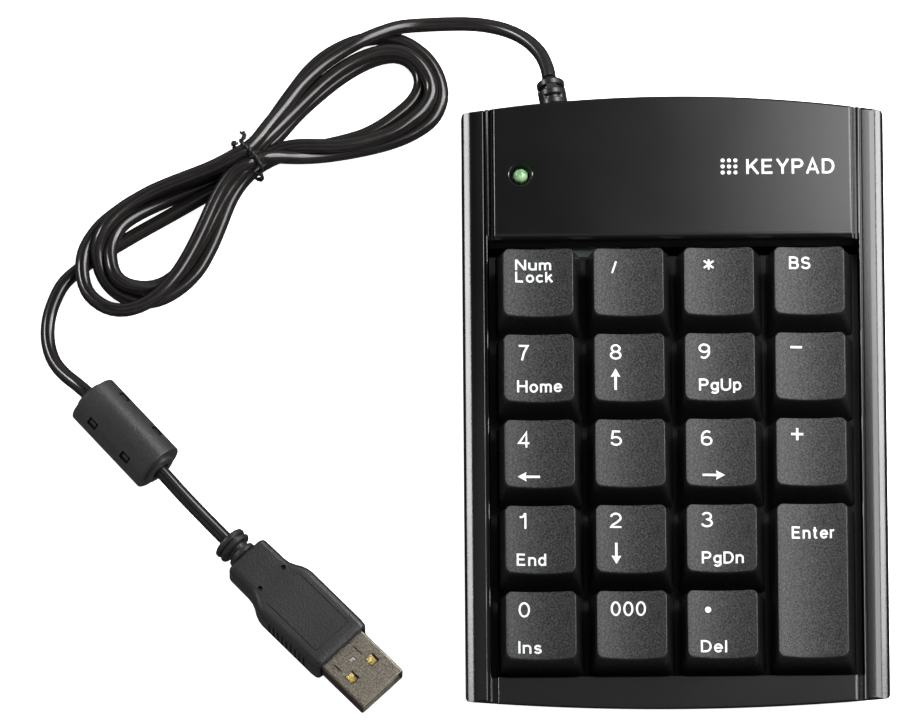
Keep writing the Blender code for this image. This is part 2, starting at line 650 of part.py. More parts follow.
def turned_mesh(profile, sides=16):
    """A solid of revolution about Z from (radius, height) points that run from pole to pole."""
    def build(shape):
        rings = []
        for radius, height in profile:
            rings.append(bmesh.ops.create_circle(shape, segments=sides, radius=radius,
                                                 matrix=Matrix.Translation((0, 0, height)))["verts"])
        for lower, upper in zip(rings, rings[1:]):
            for index in range(sides):
                after = (index + 1) % sides
                shape.faces.new((lower[index], lower[after], upper[after], upper[index]))
        shape.faces.new(list(reversed(rings[0])))
        shape.faces.new(rings[-1])
    return mesh_from(build)


def make_strain_relief():
    """Ribbed grommet: a flange inside the wall, a neck through it and three ribs outside."""
    length = (RELIEF_END - RELIEF_START).length
    neck, rib = RELIEF_RADIUS * 0.75, RELIEF_RADIUS
    flange = rib + 0.8 * MM
    profile = [(flange, -4.8 * MM), (flange, -3.6 * MM), (neck, -3.6 * MM), (neck, 0.8 * MM)]
    ribs = 3
    step = (length - 0.8 * MM) / ribs
    for index in range(ribs):
        start = 0.8 * MM + index * step
        width = rib - index * 0.15 * MM
        finish = start + step * 0.7
        profile += [(width, start), (width, finish), (neck, finish), (neck, start + step)]
    profile[-2:] = [(rib - 0.6 * MM, length)]
    relief = add("strain_relief", turned_mesh(profile), CORD_PVC, place=RELIEF_START)
    relief.matrix_world = Matrix.Translation(RELIEF_START) @ turned_to(RELIEF_AXIS)


def make_ferrite():
    """Two clip-together case halves round a ferrite sleeve, which the cord runs through."""
    half = FERRITE_LENGTH / 2
    place = Matrix.Translation(FERRITE_CENTRE) @ turned_to(FERRITE_AXIS)
    cavity, cavity_half = 4.7 * MM, half - 1.8 * MM
    bore = CORD_RADIUS + 0.5 * MM
    for name, side in (("upper", 1), ("lower", -1)):
        body = cylinders_mesh([(0, 0)], -half, half, FERRITE_RADIUS, sides=24)
        piece = add(f"ferrite_case_{name}", body, INNER_PLASTIC)
        piece.matrix_world = place
        split = sorted((side * 0.15 * MM, -side * 10 * MM))
        for mesh in (cylinders_mesh([(0, 0)], -cavity_half, cavity_half, cavity),
                     cylinders_mesh([(0, 0)], -half - 1 * MM, half + 1 * MM, bore),
                     box_mesh((-10 * MM, split[0], -half - 1 * MM), (10 * MM, split[1], half + 1 * MM))):
            modifier = piece.modifiers.new("difference", "BOOLEAN")
            modifier.operation = "DIFFERENCE"
            modifier.object = tool(mesh, piece)
            modifier.object.matrix_world = place
    core = add("ferrite_core", cylinders_mesh([(0, 0)], -cavity_half + 0.4 * MM, cavity_half - 0.4 * MM,
                                              cavity - 0.5 * MM), FERRITE)
    core.matrix_world = place
    cut(core, cylinders_mesh([(0, 0)], -half, half, bore))
    core.modifiers[-1].object.matrix_world = place


def make_plug():
    """Moulded grip with a ringed boot, steel shell, plastic tongue and four contacts."""
    frame = Matrix.Translation(PLUG_START) @ turned_to(PLUG_AXIS)

    def on_plug(name, mesh, material):
        piece = add(name, mesh, material)
        piece.matrix_world = frame
        return piece

    def trim(piece, mesh, operation="DIFFERENCE"):
        combine(piece, mesh, operation)
        piece.modifiers[-1].object.matrix_world = frame

    grip_start, grip_end = BOOT_LENGTH, BOOT_LENGTH + GRIP_LENGTH
    half_width, half_thick = GRIP_WIDTH / 2, GRIP_THICKNESS / 2
    block = box_mesh((-half_width, -half_thick, grip_start), (half_width, half_thick, grip_end))
    soften(block, 2.2 * MM, 3, lambda edge: True)
    grip = on_plug("plug_overmold", block, CORD_PVC)
    rings = [(2.6, 0.0), (3.3, 0.8), (3.3, 2.0), (2.6, 2.0), (2.6, 3.0), (3.3, 3.0), (3.5, 7.0)]
    trim(grip, turned_mesh([(radius * MM, height * MM) for radius, height in rings]), "UNION")
    inner_x, inner_y = SHELL_WIDTH / 2, SHELL_THICKNESS / 2
    socket = 5.0 * MM
    trim(grip, box_mesh((-inner_x - GAP, -inner_y - GAP, grip_end - socket),
                        (inner_x + GAP, inner_y + GAP, grip_end + 1 * MM)))

    tip = grip_end + SHELL_LENGTH
    shell_start, sheet = grip_end - socket + GAP, 0.35 * MM
    tube = box_mesh((-inner_x, -inner_y, shell_start), (inner_x, inner_y, tip))
    soften(tube, 0.6 * MM, 2, lambda edge: abs(edge.verts[0].co.z - edge.verts[1].co.z) > 1 * MM)
    shell = on_plug("plug_shell", tube, STEEL)
    trim(shell, box_mesh((-inner_x + sheet, -inner_y + sheet, shell_start - 1 * MM),
                         (inner_x - sheet, inner_y - sheet, tip + 1 * MM)))
    for side in (-1, 1):
        centre = side * 2.9 * MM
        low = (centre - 1.1 * MM, -5 * MM, tip - 7.4 * MM)
        trim(shell, box_mesh(low, (centre + 1.1 * MM, 5 * MM, tip - 5.0 * MM)))

    tongue_half = inner_x - sheet - GAP
    low, high = -inner_y + sheet + GAP, -0.1 * MM
    on_plug("plug_tongue", box_mesh((-tongue_half, low, shell_start), (tongue_half, high, tip - 0.8 * MM)),
            WHITE_PLASTIC)
    for number, x in enumerate((-3.5, -1.0, 1.0, 3.5), start=1):
        centre = x * MM
        strip = box_mesh((centre - 0.5 * MM, high + GAP, shell_start + 1 * MM),
                         (centre + 0.5 * MM, high + GAP + 0.25 * MM, tip - 1.6 * MM))
        on_plug(f"plug_contact_{number}", strip, GOLD)


make_top_cover()
make_bottom_cover()
make_feet()
make_screws()
make_keys()
make_key_deck()
make_stabiliser()
make_switch_layers()
make_controller()
make_led()
make_cord()
make_hank()
make_strain_relief()
make_ferrite()
make_plug()

for piece in PARTS.objects:
    if piece.type == "MESH":
        piece.data.shade_smooth()
        piece.data.set_sharp_from_angle(angle=math.radians(35))
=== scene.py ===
"""The looks of the numeric keypad: fine meshes, the cord at its real length, materials and the studio."""

import math

import bmesh
import bpy
import numpy as np
from mathutils import Matrix, Vector


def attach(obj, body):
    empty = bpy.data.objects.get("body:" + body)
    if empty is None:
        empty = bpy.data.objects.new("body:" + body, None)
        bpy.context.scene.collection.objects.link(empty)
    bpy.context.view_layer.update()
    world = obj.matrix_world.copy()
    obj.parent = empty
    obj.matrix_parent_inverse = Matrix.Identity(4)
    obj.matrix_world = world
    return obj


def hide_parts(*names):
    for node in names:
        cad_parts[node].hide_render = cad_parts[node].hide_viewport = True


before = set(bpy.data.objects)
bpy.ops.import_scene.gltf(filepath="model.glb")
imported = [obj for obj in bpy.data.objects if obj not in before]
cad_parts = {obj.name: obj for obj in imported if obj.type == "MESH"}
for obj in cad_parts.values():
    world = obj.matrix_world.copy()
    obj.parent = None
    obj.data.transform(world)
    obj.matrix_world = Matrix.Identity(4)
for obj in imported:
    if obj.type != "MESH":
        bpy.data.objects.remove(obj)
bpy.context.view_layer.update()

MM = 0.001

# ---------------------------------------------------------------- the design's driving sizes

DECK_TILT = math.radians(1.5)
DECK_HEIGHT = 21.0 * MM
DECK = Matrix.Translation((0, 0, DECK_HEIGHT)) @ Matrix.Rotation(DECK_TILT, 4, "X")
HALF_WIDTH = 44.6 * MM
CASE_REAR = 68.0 * MM
CASE_FRONT = -68.8 * MM
REAR_CROWN = 3.5 * MM
FRONT_CROWN = 2.0 * MM
COVER_DEPTH = 5.5 * MM
UPPER_LEAN = 0.39
LOWER_LEAN = 0.11
WELL_HALF_WIDTH = 39.2 * MM
WELL_REAR = 35.85 * MM
WELL_FRONT = -61.3 * MM

PITCH = 19.05 * MM
KEY_FIELD_Y = -13.7 * MM
KEY_BASE = 18.1 * MM
KEY_SIDE_TAPER = 1.7 * MM
KEY_REAR_TAPER = 1.0 * MM
KEY_FRONT_TAPER = 2.3 * MM
KEY_HEIGHT = 8.5 * MM
KEY_TOP = 4.4 * MM
KEY_SKIN = 1.25 * MM
KEY_DISH = 0.75 * MM

LED_PLACE = Vector((-32.1, 50.5, 0)) * MM
LED_RADIUS = 1.5 * MM

CORD_RADIUS = 1.5 * MM
RELIEF_START = Vector((-24.4, 66.1, 13.25)) * MM
RELIEF_END = Vector((-25.75, 75.6, 12.7)) * MM
FERRITE_CENTRE = Vector((-116.0, -1.0, 5.9)) * MM
FERRITE_AXIS = Vector((0.659, -0.752, 0)).normalized()
FERRITE_LENGTH = 22.8 * MM
FERRITE_RADIUS = 5.75 * MM
PLUG_START = Vector((-93.9, -25.4, 4.2)) * MM
PLUG_AXIS = Vector((0.689, -0.725, 0)).normalized()
TIE_CENTRE = Vector((-89.8, 60.3, 0)) * MM
TIE_ALONG = Vector((0.737, 0.675, 0)).normalized()
TIE_ACROSS = Vector((0, 0, 1)).cross(TIE_ALONG)


# ---------------------------------------------------------------- mesh helpers

def in_metres(points):
    """Points or sizes that are written in millimetres, in metres."""
    return [tuple(value * MM for value in point) for point in points]


def linked(name, data):
    """A new object in the scene."""
    item = bpy.data.objects.new(name, data)
    bpy.context.scene.collection.objects.link(item)
    return item


def finished(shape):
    """A bmesh as a mesh."""
    mesh = bpy.data.meshes.new("shape")
    shape.to_mesh(mesh)
    shape.free()
    return mesh


def mesh_from(build):
    """Run a function that fills a bmesh, and return the mesh with its normals outwards."""
    shape = bmesh.new()
    build(shape)
    bmesh.ops.recalc_face_normals(shape, faces=shape.faces)
    return finished(shape)


def box_mesh(low, high):
    """A box between two corners."""
    low, high = Vector(low), Vector(high)
    matrix = Matrix.Translation((low + high) / 2) @ Matrix.Diagonal((*(high - low), 1.0))
    return mesh_from(lambda shape: bmesh.ops.create_cube(shape, size=1.0, matrix=matrix))


def loft_mesh(rings):
    """A skin over closed rings that all have the same number of points, with both ends closed."""
    def build(shape):
        loops = [[shape.verts.new(point) for point in ring] for ring in rings]
        count = len(loops[0])
        for lower, upper in zip(loops, loops[1:]):
            for index in range(count):
                after = (index + 1) % count
                shape.faces.new((lower[index], lower[after], upper[after], upper[index]))
        shape.faces.new(list(reversed(loops[0])))
        shape.faces.new(loops[-1])
    return mesh_from(build)


def box_about(centre, size):
    """A box from its centre and its size, in millimetres."""
    low, high = in_metres([[place - side / 2 for place, side in zip(centre, size)],
                           [place + side / 2 for place, side in zip(centre, size)]])
    return box_mesh(low, high)


def turned_mesh(profile, sides=48):
    """A solid of revolution about Z from (radius, height) points."""
    angles = [2 * math.pi * step / sides for step in range(sides)]
    rings = []
    for radius, height in profile:
        rings.append([(radius * math.cos(angle), radius * math.sin(angle), height) for angle in angles])
    return loft_mesh(rings)


def rounded_rectangle(half_x, half_y, radius, corner_steps=8, side_steps=6):
    """Points round a rectangle with round corners, anticlockwise from the right side."""
    points = []
    corners = [(1, 1, 0.0), (-1, 1, 0.5), (-1, -1, 1.0), (1, -1, 1.5)]
    for sign_x, sign_y, turn in corners:
        centre = Vector((sign_x * (half_x - radius), sign_y * (half_y - radius)))
        for step in range(corner_steps + 1):
            angle = math.pi * (turn + 0.5 * step / corner_steps)
            points.append(centre + radius * Vector((math.cos(angle), math.sin(angle))))
    full = []
    for index, point in enumerate(points):
        full.append(point)
        following = points[(index + 1) % len(points)]
        if (index + 1) % (corner_steps + 1) == 0:
            full += [point.lerp(following, step / side_steps) for step in range(1, side_steps)]
    return full


def evaluated_mesh(piece):
    """The mesh of an object with its modifiers, or its bevel, applied."""
    bpy.context.view_layer.update()
    graph = bpy.context.evaluated_depsgraph_get()
    return bpy.data.meshes.new_from_object(piece.evaluated_get(graph))


def boolean(mesh, other, operation="DIFFERENCE"):
    """Apply a Boolean between two meshes that share one frame."""
    base = linked("base", mesh)
    tool = linked("tool", other)
    modifier = base.modifiers.new("boolean", "BOOLEAN")
    modifier.operation = operation
    modifier.object = tool
    result = evaluated_mesh(base)
    for piece in (base, tool):
        bpy.data.objects.remove(piece, do_unlink=True)
    return result


def joined(*meshes):
    """Several meshes as one."""
    shape = bmesh.new()
    for mesh in meshes:
        shape.from_mesh(mesh)
    return finished(shape)


def moved(mesh, matrix):
    """The same mesh, moved by a matrix."""
    mesh.transform(matrix)
    return mesh


def piece_from(name, mesh, material, body, replaced=(), matrix=None, sharp=35, weighted=False):
    """Put a finished mesh in the scene as a piece that rides on a body.

    Edges over the sharp angle stay crisp, and weighted normals keep broad flat faces flat.
    """
    piece = linked(name, mesh)
    if matrix is not None:
        piece.matrix_world = matrix
    if material is not None:
        mesh.materials.clear()
        mesh.materials.append(material)
    mesh.shade_smooth()
    mesh.set_sharp_from_angle(angle=math.radians(sharp))
    if weighted:
        modifier = piece.modifiers.new("normals", "WEIGHTED_NORMAL")
        modifier.keep_sharp = True
    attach(piece, body)
    if replaced:
        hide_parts(*replaced)
    return piece


def turned_to(axis):
    """A rotation that takes +Z to an axis and keeps +X level."""
    across = Vector((0, 0, 1)).cross(axis).normalized()
    return Matrix((across, axis.cross(across), axis)).transposed().to_4x4()


# ---------------------------------------------------------------- materials

def new_material(name, colour, roughness, metallic=0.0, specular=0.5):
    """A material and its shader, with their plain values set."""
    material = bpy.data.materials.new(name)
    material.use_nodes = True
    shader = material.node_tree.nodes["Principled BSDF"]
    shader.inputs["Base Color"].default_value = (*colour, 1.0)
    shader.inputs["Roughness"].default_value = roughness
    shader.inputs["Metallic"].default_value = metallic
    shader.inputs["Specular IOR Level"].default_value = specular
    return material, shader


def noise_node(material, scale, detail=2.0, roughness=0.5):
    """A noise in the object's own space, with its scale in cells per metre."""
    nodes, links = material.node_tree.nodes, material.node_tree.links
    place = nodes.get("place") or nodes.new("ShaderNodeTexCoord")
    place.name = "place"
    noise = nodes.new("ShaderNodeTexNoise")
    noise.inputs["Scale"].default_value = scale
    noise.inputs["Detail"].default_value = detail
    noise.inputs["Roughness"].default_value = roughness
    links.new(place.outputs["Object"], noise.inputs["Vector"])
    return noise


def add_bump(material, shader, source, strength, distance):
    """Add a bump layer, over any that is there already."""
    nodes, links = material.node_tree.nodes, material.node_tree.links
    bump = nodes.new("ShaderNodeBump")
    bump.inputs["Strength"].default_value = strength
    bump.inputs["Distance"].default_value = distance
    links.new(source, bump.inputs["Height"])
    if shader.inputs["Normal"].is_linked:
        links.new(shader.inputs["Normal"].links[0].from_socket, bump.inputs["Normal"])
    links.new(bump.outputs["Normal"], shader.inputs["Normal"])


def remapped(material, source, low, high, start=0.3, end=0.7):
    """A value between low and high that follows a noise."""
    nodes, links = material.node_tree.nodes, material.node_tree.links
    span = nodes.new("ShaderNodeMapRange")
    for socket, value in (("From Min", start), ("From Max", end), ("To Min", low), ("To Max", high)):
        span.inputs[socket].default_value = value
    links.new(source, span.inputs["Value"])
    return span.outputs["Result"]


def mottle(material, shader, source, dark, light, start=0.35, end=0.65):
    """Vary the base colour between two colours with a noise."""
    nodes, links = material.node_tree.nodes, material.node_tree.links
    ramp = nodes.new("ShaderNodeValToRGB")
    ramp.color_ramp.elements[0].position = start
    ramp.color_ramp.elements[0].color = (*dark, 1)
    ramp.color_ramp.elements[1].position = end
    ramp.color_ramp.elements[1].color = (*light, 1)
    links.new(source, ramp.inputs["Fac"])
    links.new(ramp.outputs["Color"], shader.inputs["Base Color"])


def grey(value):
    """A very slightly blue grey."""
    return (value, value, value * 1.03)


def moulded_plastic(name, colour, roughness, spread, grain_scale, grain_depth, specular=0.5):
    """Injection-moulded plastic: fine grain in the surface and a gloss that varies a little."""
    material, shader = new_material(name, colour, roughness, specular=specular)
    grain = noise_node(material, grain_scale, 3.0)
    add_bump(material, shader, grain.outputs["Fac"], 0.5, grain_depth)
    broad = noise_node(material, 45.0, 3.0)
    gloss = remapped(material, broad.outputs["Fac"], roughness - spread, roughness + spread)
    material.node_tree.links.new(gloss, shader.inputs["Roughness"])
    dark = [value * 0.85 for value in colour]
    light = [value * 1.2 for value in colour]
    mottle(material, shader, grain.outputs["Fac"], dark, light)
    return material


CASE = moulded_plastic("case_plastic", grey(0.0035), 0.18, 0.02, 3000, 0.020 * MM)
SKIRT = moulded_plastic("key_skirt_plastic", grey(0.013), 0.24, 0.03, 2000, 0.004 * MM)
INNER = moulded_plastic("inner_plastic", grey(0.006), 0.6, 0.05, 1500, 0.02 * MM)
CORD_SKIN = moulded_plastic("cord_pvc", (0.012, 0.0105, 0.010), 0.19, 0.03, 700, 0.006 * MM)
CHOKE = moulded_plastic("choke_plastic", grey(0.026), 0.40, 0.08, 2200, 0.12 * MM)
GRIP = moulded_plastic("plug_pvc", grey(0.016), 0.42, 0.08, 2300, 0.16 * MM)
RELIEF = moulded_plastic("relief_pvc", grey(0.010), 0.32, 0.05, 1800, 0.03 * MM)


def key_top_material():
    """Coarse spark-eroded texture on the key tops: a bump of fine pits, and a fine light and dark speckle
    painted into the colour that stands in for the glints the pits catch.
    """
    material, shader = new_material("key_top_plastic", grey(0.030), 0.42, specular=0.30)
    # Painted glints: this noise swings the colour from near black to grey in fine specks, in place of light
    # caught by the pits.
    painted_glint_speckle = noise_node(material, 3000, 2.5, 0.8)
    mottle(material, shader, painted_glint_speckle.outputs["Fac"], grey(0.001), grey(0.044), 0.42, 0.61)
    pits = noise_node(material, 5200, 0.0, 0.5)
    add_bump(material, shader, pits.outputs["Fac"], 0.8, 0.05 * MM)
    return material


def print_material():
    """Matt white ink with a slightly worn surface."""
    material, shader = new_material("white_print", (0.80, 0.81, 0.82), 0.55)
    wear = noise_node(material, 3000, 2.0)
    mottle(material, shader, wear.outputs["Fac"], (0.62, 0.63, 0.64), (0.86, 0.87, 0.88), 0.30, 0.5)
    return material


def plated_steel(name, colour, roughness):
    """Plated sheet steel, a little uneven, with fine drawing marks and specks."""
    material, shader = new_material(name, colour, roughness, 1.0)
    specks = noise_node(material, 2600, 3.0, 0.6)
    dark = [value * 0.5 for value in colour]
    light = [min(1, value * 1.25) for value in colour]
    mottle(material, shader, specks.outputs["Fac"], dark, light)
    fine = noise_node(material, 4200, 2.0)
    add_bump(material, shader, fine.outputs["Fac"], 0.6, 0.03 * MM)
    gloss = remapped(material, specks.outputs["Fac"], roughness - 0.05, roughness + 0.12)
    material.node_tree.links.new(gloss, shader.inputs["Roughness"])
    return material


def lamp_material():
    """Tinted epoxy lens of an unlit green lamp."""
    material, shader = new_material("lamp_lens", (0.24, 0.50, 0.22), 0.08)
    shader.inputs["Transmission Weight"].default_value = 0.25
    shader.inputs["Coat Weight"].default_value = 0.6
    shader.inputs["Coat Roughness"].default_value = 0.05
    cloud = noise_node(material, 500, 1.0)
    mottle(material, shader, cloud.outputs["Fac"], (0.13, 0.34, 0.11), (0.42, 0.66, 0.38))
    return material


def film_material():
    """Clear grey film with faint ink clouds, for the switch membrane."""
    material, shader = new_material("polyester_film", (0.45, 0.55, 0.55), 0.25)
    ink = noise_node(material, 300, 2.0)
    mottle(material, shader, ink.outputs["Fac"], (0.35, 0.45, 0.46), (0.55, 0.64, 0.64))
    return material


PRINT = print_material()
KEY_TOP_SKIN = key_top_material()
STEEL = plated_steel("zinc_plated_steel", (0.60, 0.60, 0.60), 0.32)
SHELL_STEEL = plated_steel("plug_shell_steel", (0.27, 0.24, 0.195), 0.36)
BRIGHT_STEEL = plated_steel("bright_steel", (0.92, 0.90, 0.86), 0.30)
GOLD = plated_steel("gold_plate", (0.85, 0.62, 0.22), 0.25)
LAMP = lamp_material()
FILM = film_material()
RUBBER = moulded_plastic("foot_rubber", grey(0.012), 0.75, 0.05, 1800, 0.03 * MM)
DOMES = moulded_plastic("dome_rubber", (0.45, 0.47, 0.48), 0.5, 0.05, 1200, 0.02 * MM)
BOARD = moulded_plastic("circuit_board", (0.02, 0.12, 0.045), 0.4, 0.05, 1500, 0.02 * MM)
CORE = moulded_plastic("ferrite", grey(0.03), 0.6, 0.05, 2500, 0.04 * MM)
TONGUE = moulded_plastic("white_plastic", (0.75, 0.75, 0.73), 0.4, 0.05, 2500, 0.02 * MM)


# ---------------------------------------------------------------- camera

def make_camera():
    """Looks down on the keypad from the front with a long lens, turned a little on its own axis."""
    elevation = math.radians(69.5)
    roll = math.radians(0.45)
    distance = 6.0
    view_width = 189.45 * MM
    target = Vector((-47.52, 11.16, 15.0)) * MM
    upright = Vector((0, math.sin(elevation), math.cos(elevation)))
    sideways = Vector((1, 0, 0))
    right = sideways * math.cos(roll) - upright * math.sin(roll)
    up = sideways * math.sin(roll) + upright * math.cos(roll)
    back = right.cross(up)
    data = bpy.data.cameras.new("camera")
    data.sensor_width = 36.0
    data.lens = data.sensor_width * distance / view_width
    data.clip_start = 0.5
    data.clip_end = 50.0
    camera = linked("camera", data)
    turn = Matrix((right, up, back)).transposed().to_4x4()
    camera.matrix_world = Matrix.Translation(target + back * distance) @ turn
    bpy.context.scene.camera = camera


make_camera()


# ---------------------------------------------------------------- cord

# The route, in millimetres, as (x, y, height of the centre line). It leaves the strain relief, drops
# to the table, makes three turns of a flat bow tie through the twist tie, and runs through the choke
# to the plug.
LEAD = [
    (-25.85, 76.0, 12.6), (-26.3, 78.6, 12.1), (-27.7, 82.2, 11.0), (-30.4, 85.7, 9.4), (-34.0, 88.5, 7.5),
    (-38.4, 90.5, 5.6), (-43.0, 91.6, 4.0), (-48.2, 92.0, 2.7), (-52.6, 91.9, 2.2),
]
LEAD_OVER_HANK = [
    (-57.3, 91.2, 2.6), (-61.5, 89.5, 3.6), (-65.8, 87.3, 4.6), (-70.0, 84.8, 4.6), (-74.2, 81.7, 4.6),
    (-78.5, 77.4, 4.6), (-82.7, 72.4, 4.6), (-87.0, 68.0, 4.6), (-90.6, 63.9, 4.8),
]
FIRST_LEFT = [
    (-94.2, 61.7, 4.8), (-98.7, 59.5, 4.6), (-107.1, 55.4, 4.6), (-111.4, 53.1, 4.6), (-115.6, 50.1, 4.6),
    (-118.4, 47.4, 4.4), (-120.3, 44.5, 3.8), (-121.3, 41.5, 2.8), (-121.0, 37.7, 1.9), (-119.7, 34.5, 1.6),
    (-117.4, 32.0, 1.6), (-114.5, 30.6, 1.6), (-111.1, 30.3, 1.6), (-107.7, 31.4, 1.6), (-104.1, 33.9, 1.6),
    (-100.9, 37.2, 1.6), (-98.2, 41.5, 1.6), (-95.6, 46.2, 1.6), (-93.0, 50.9, 1.6), (-90.1, 55.2, 1.6),
]
FIRST_RIGHT = [
    (-87.5, 58.2, 1.8), (-84.5, 60.5, 1.6), (-81.1, 62.1, 1.6), (-77.5, 63.4, 1.6), (-73.3, 64.4, 1.6),
    (-68.7, 65.8, 1.6), (-64.6, 67.4, 1.6), (-60.6, 69.9, 1.6), (-57.4, 72.5, 1.6), (-55.1, 74.7, 1.6),
    (-53.4, 77.4, 1.6), (-53.0, 80.1, 1.6), (-54.0, 82.8, 1.6), (-56.1, 84.8, 1.6), (-59.0, 85.5, 1.6),
    (-62.8, 84.7, 1.6), (-66.9, 82.7, 1.6), (-71.1, 79.8, 1.6), (-75.3, 76.2, 1.6), (-79.4, 72.2, 1.6),
    (-83.2, 67.7, 1.6), (-86.6, 63.8, 1.8),
]
SECOND_LEFT = [
    (-89.6, 61.4, 1.8), (-92.8, 59.8, 1.8), (-97.0, 57.8, 1.8), (-101.9, 55.7, 1.8), (-107.2, 53.7, 1.6),
    (-112.2, 51.3, 1.6), (-116.1, 48.4, 1.6), (-118.6, 45.0, 1.6), (-119.8, 41.3, 2.0), (-119.5, 37.5, 2.6),
    (-118.3, 34.6, 3.0), (-116.0, 32.8, 3.2), (-112.6, 32.1, 3.0), (-109.2, 32.5, 2.6), (-106.0, 34.1, 2.2),
    (-102.8, 37.2, 1.6), (-99.9, 41.7, 1.6), (-97.3, 46.4, 1.6), (-94.7, 51.1, 1.6), (-92.0, 55.1, 1.8),
]
SECOND_RIGHT = [
    (-89.0, 58.1, 4.0), (-85.6, 60.0, 4.4), (-81.8, 60.6, 4.4), (-77.6, 61.4, 4.4), (-72.3, 62.4, 4.4),
    (-67.0, 63.7, 4.4), (-62.8, 65.3, 4.4), (-58.9, 67.0, 4.4), (-55.6, 69.3, 4.4), (-52.8, 71.9, 4.2),
    (-51.1, 74.9, 4.0), (-50.9, 77.8, 4.0), (-51.9, 80.7, 4.2), (-53.8, 83.2, 4.4), (-56.5, 85.1, 4.4),
    (-60.3, 85.6, 4.4), (-64.9, 84.4, 4.4), (-69.2, 82.2, 4.4), (-73.4, 79.0, 4.4), (-77.7, 74.8, 4.4),
    (-81.9, 70.2, 4.4), (-85.8, 65.7, 4.4), (-88.9, 61.9, 4.6),
]
THIRD_LEFT = [
    (-91.7, 59.9, 4.6), (-97.0, 59.2, 1.7), (-102.7, 57.0, 1.7), (-108.0, 54.6, 1.7), (-112.9, 52.2, 1.7),
    (-117.1, 49.5, 1.6), (-120.7, 46.5, 1.6), (-123.2, 42.8, 1.6), (-124.5, 39.2, 1.6), (-124.7, 35.1, 1.8),
    (-123.8, 31.5, 2.4), (-121.7, 28.9, 3.4), (-118.9, 27.1, 4.4), (-115.8, 26.8, 4.8), (-112.6, 27.7, 5.0),
    (-109.4, 29.7, 5.0), (-106.7, 32.5, 5.0), (-104.1, 36.0, 4.8), (-101.6, 40.3, 4.6), (-99.2, 44.9, 4.6),
    (-96.8, 49.6, 4.6), (-94.3, 53.6, 4.6),
]
THIRD_RIGHT = [
    (-91.1, 57.2, 4.6), (-87.9, 58.2, 4.4), (-85.0, 59.8, 1.6), (-81.4, 60.7, 1.6), (-77.4, 61.7, 1.6),
    (-72.3, 62.7, 1.6), (-66.6, 63.9, 1.6), (-61.7, 65.1, 1.6), (-57.3, 66.6, 1.6), (-53.5, 68.6, 1.6),
    (-50.7, 70.9, 1.6), (-49.1, 73.9, 1.6), (-48.6, 77.1, 1.6), (-49.3, 80.5, 1.6), (-51.0, 83.9, 1.6),
    (-53.5, 86.6, 1.6), (-56.7, 88.7, 1.6), (-60.5, 89.7, 1.6), (-64.7, 89.4, 1.6), (-68.9, 88.0, 1.6),
    (-73.2, 85.5, 1.6), (-76.8, 82.2, 1.6), (-80.0, 78.1, 1.6), (-83.6, 73.4, 1.6), (-87.2, 68.6, 1.8),
]
EXIT = [
    (-90.2, 63.5, 2.2), (-92.1, 60.1, 1.8), (-94.7, 57.2, 1.6), (-99.8, 53.9, 1.6), (-107.2, 49.4, 1.6),
    (-113.5, 45.7, 1.6), (-118.2, 42.8, 1.6), (-122.7, 39.9, 1.6), (-125.4, 37.9, 1.6),
]
TAIL = [
    (-128.9, 34.6, 1.6), (-131.0, 30.4, 1.6), (-132.2, 26.0, 1.6), (-132.3, 21.4, 1.7), (-131.2, 17.0, 2.3),
    (-129.0, 13.4, 3.6), (-126.2, 10.4, 5.1), (-123.8, 7.9, 5.8), (-119.5, 3.0, 5.9), (-112.5, -5.0, 5.9),
    (-108.2, -9.9, 5.9), (-103.5, -15.3, 5.4), (-98.6, -20.5, 4.6), (-94.6, -24.7, 4.2),
]
HANK = (LEAD_OVER_HANK + FIRST_LEFT + FIRST_RIGHT + SECOND_LEFT + SECOND_RIGHT
        + THIRD_LEFT + THIRD_RIGHT + EXIT)


def smooth_route(points, spacing):
    """Evenly spaced points along a Catmull-Rom curve through the given points."""
    padded = np.vstack([2 * points[0] - points[1], points, 2 * points[-1] - points[-2]])
    dense = []
    t = np.linspace(0, 1, 12, endpoint=False)[:, None]
    for before, start, end, after in zip(padded, padded[1:], padded[2:], padded[3:]):
        square = 2 * before - 5 * start + 4 * end - after
        cube = 3 * start - before - 3 * end + after
        dense.append(0.5 * (2 * start + (end - before) * t + square * t ** 2 + cube * t ** 3))
    dense = np.vstack([*dense, points[-1:]])
    return resampled(dense, spacing)


def resampled(points, spacing):
    """The same line with points at even distances."""
    along = np.concatenate([[0], np.cumsum(np.linalg.norm(np.diff(points, axis=0), axis=1))])
    stations = np.linspace(0, along[-1], round(along[-1] / spacing) + 1)
    return np.stack([np.interp(stations, along, points[:, axis]) for axis in range(3)], axis=1)


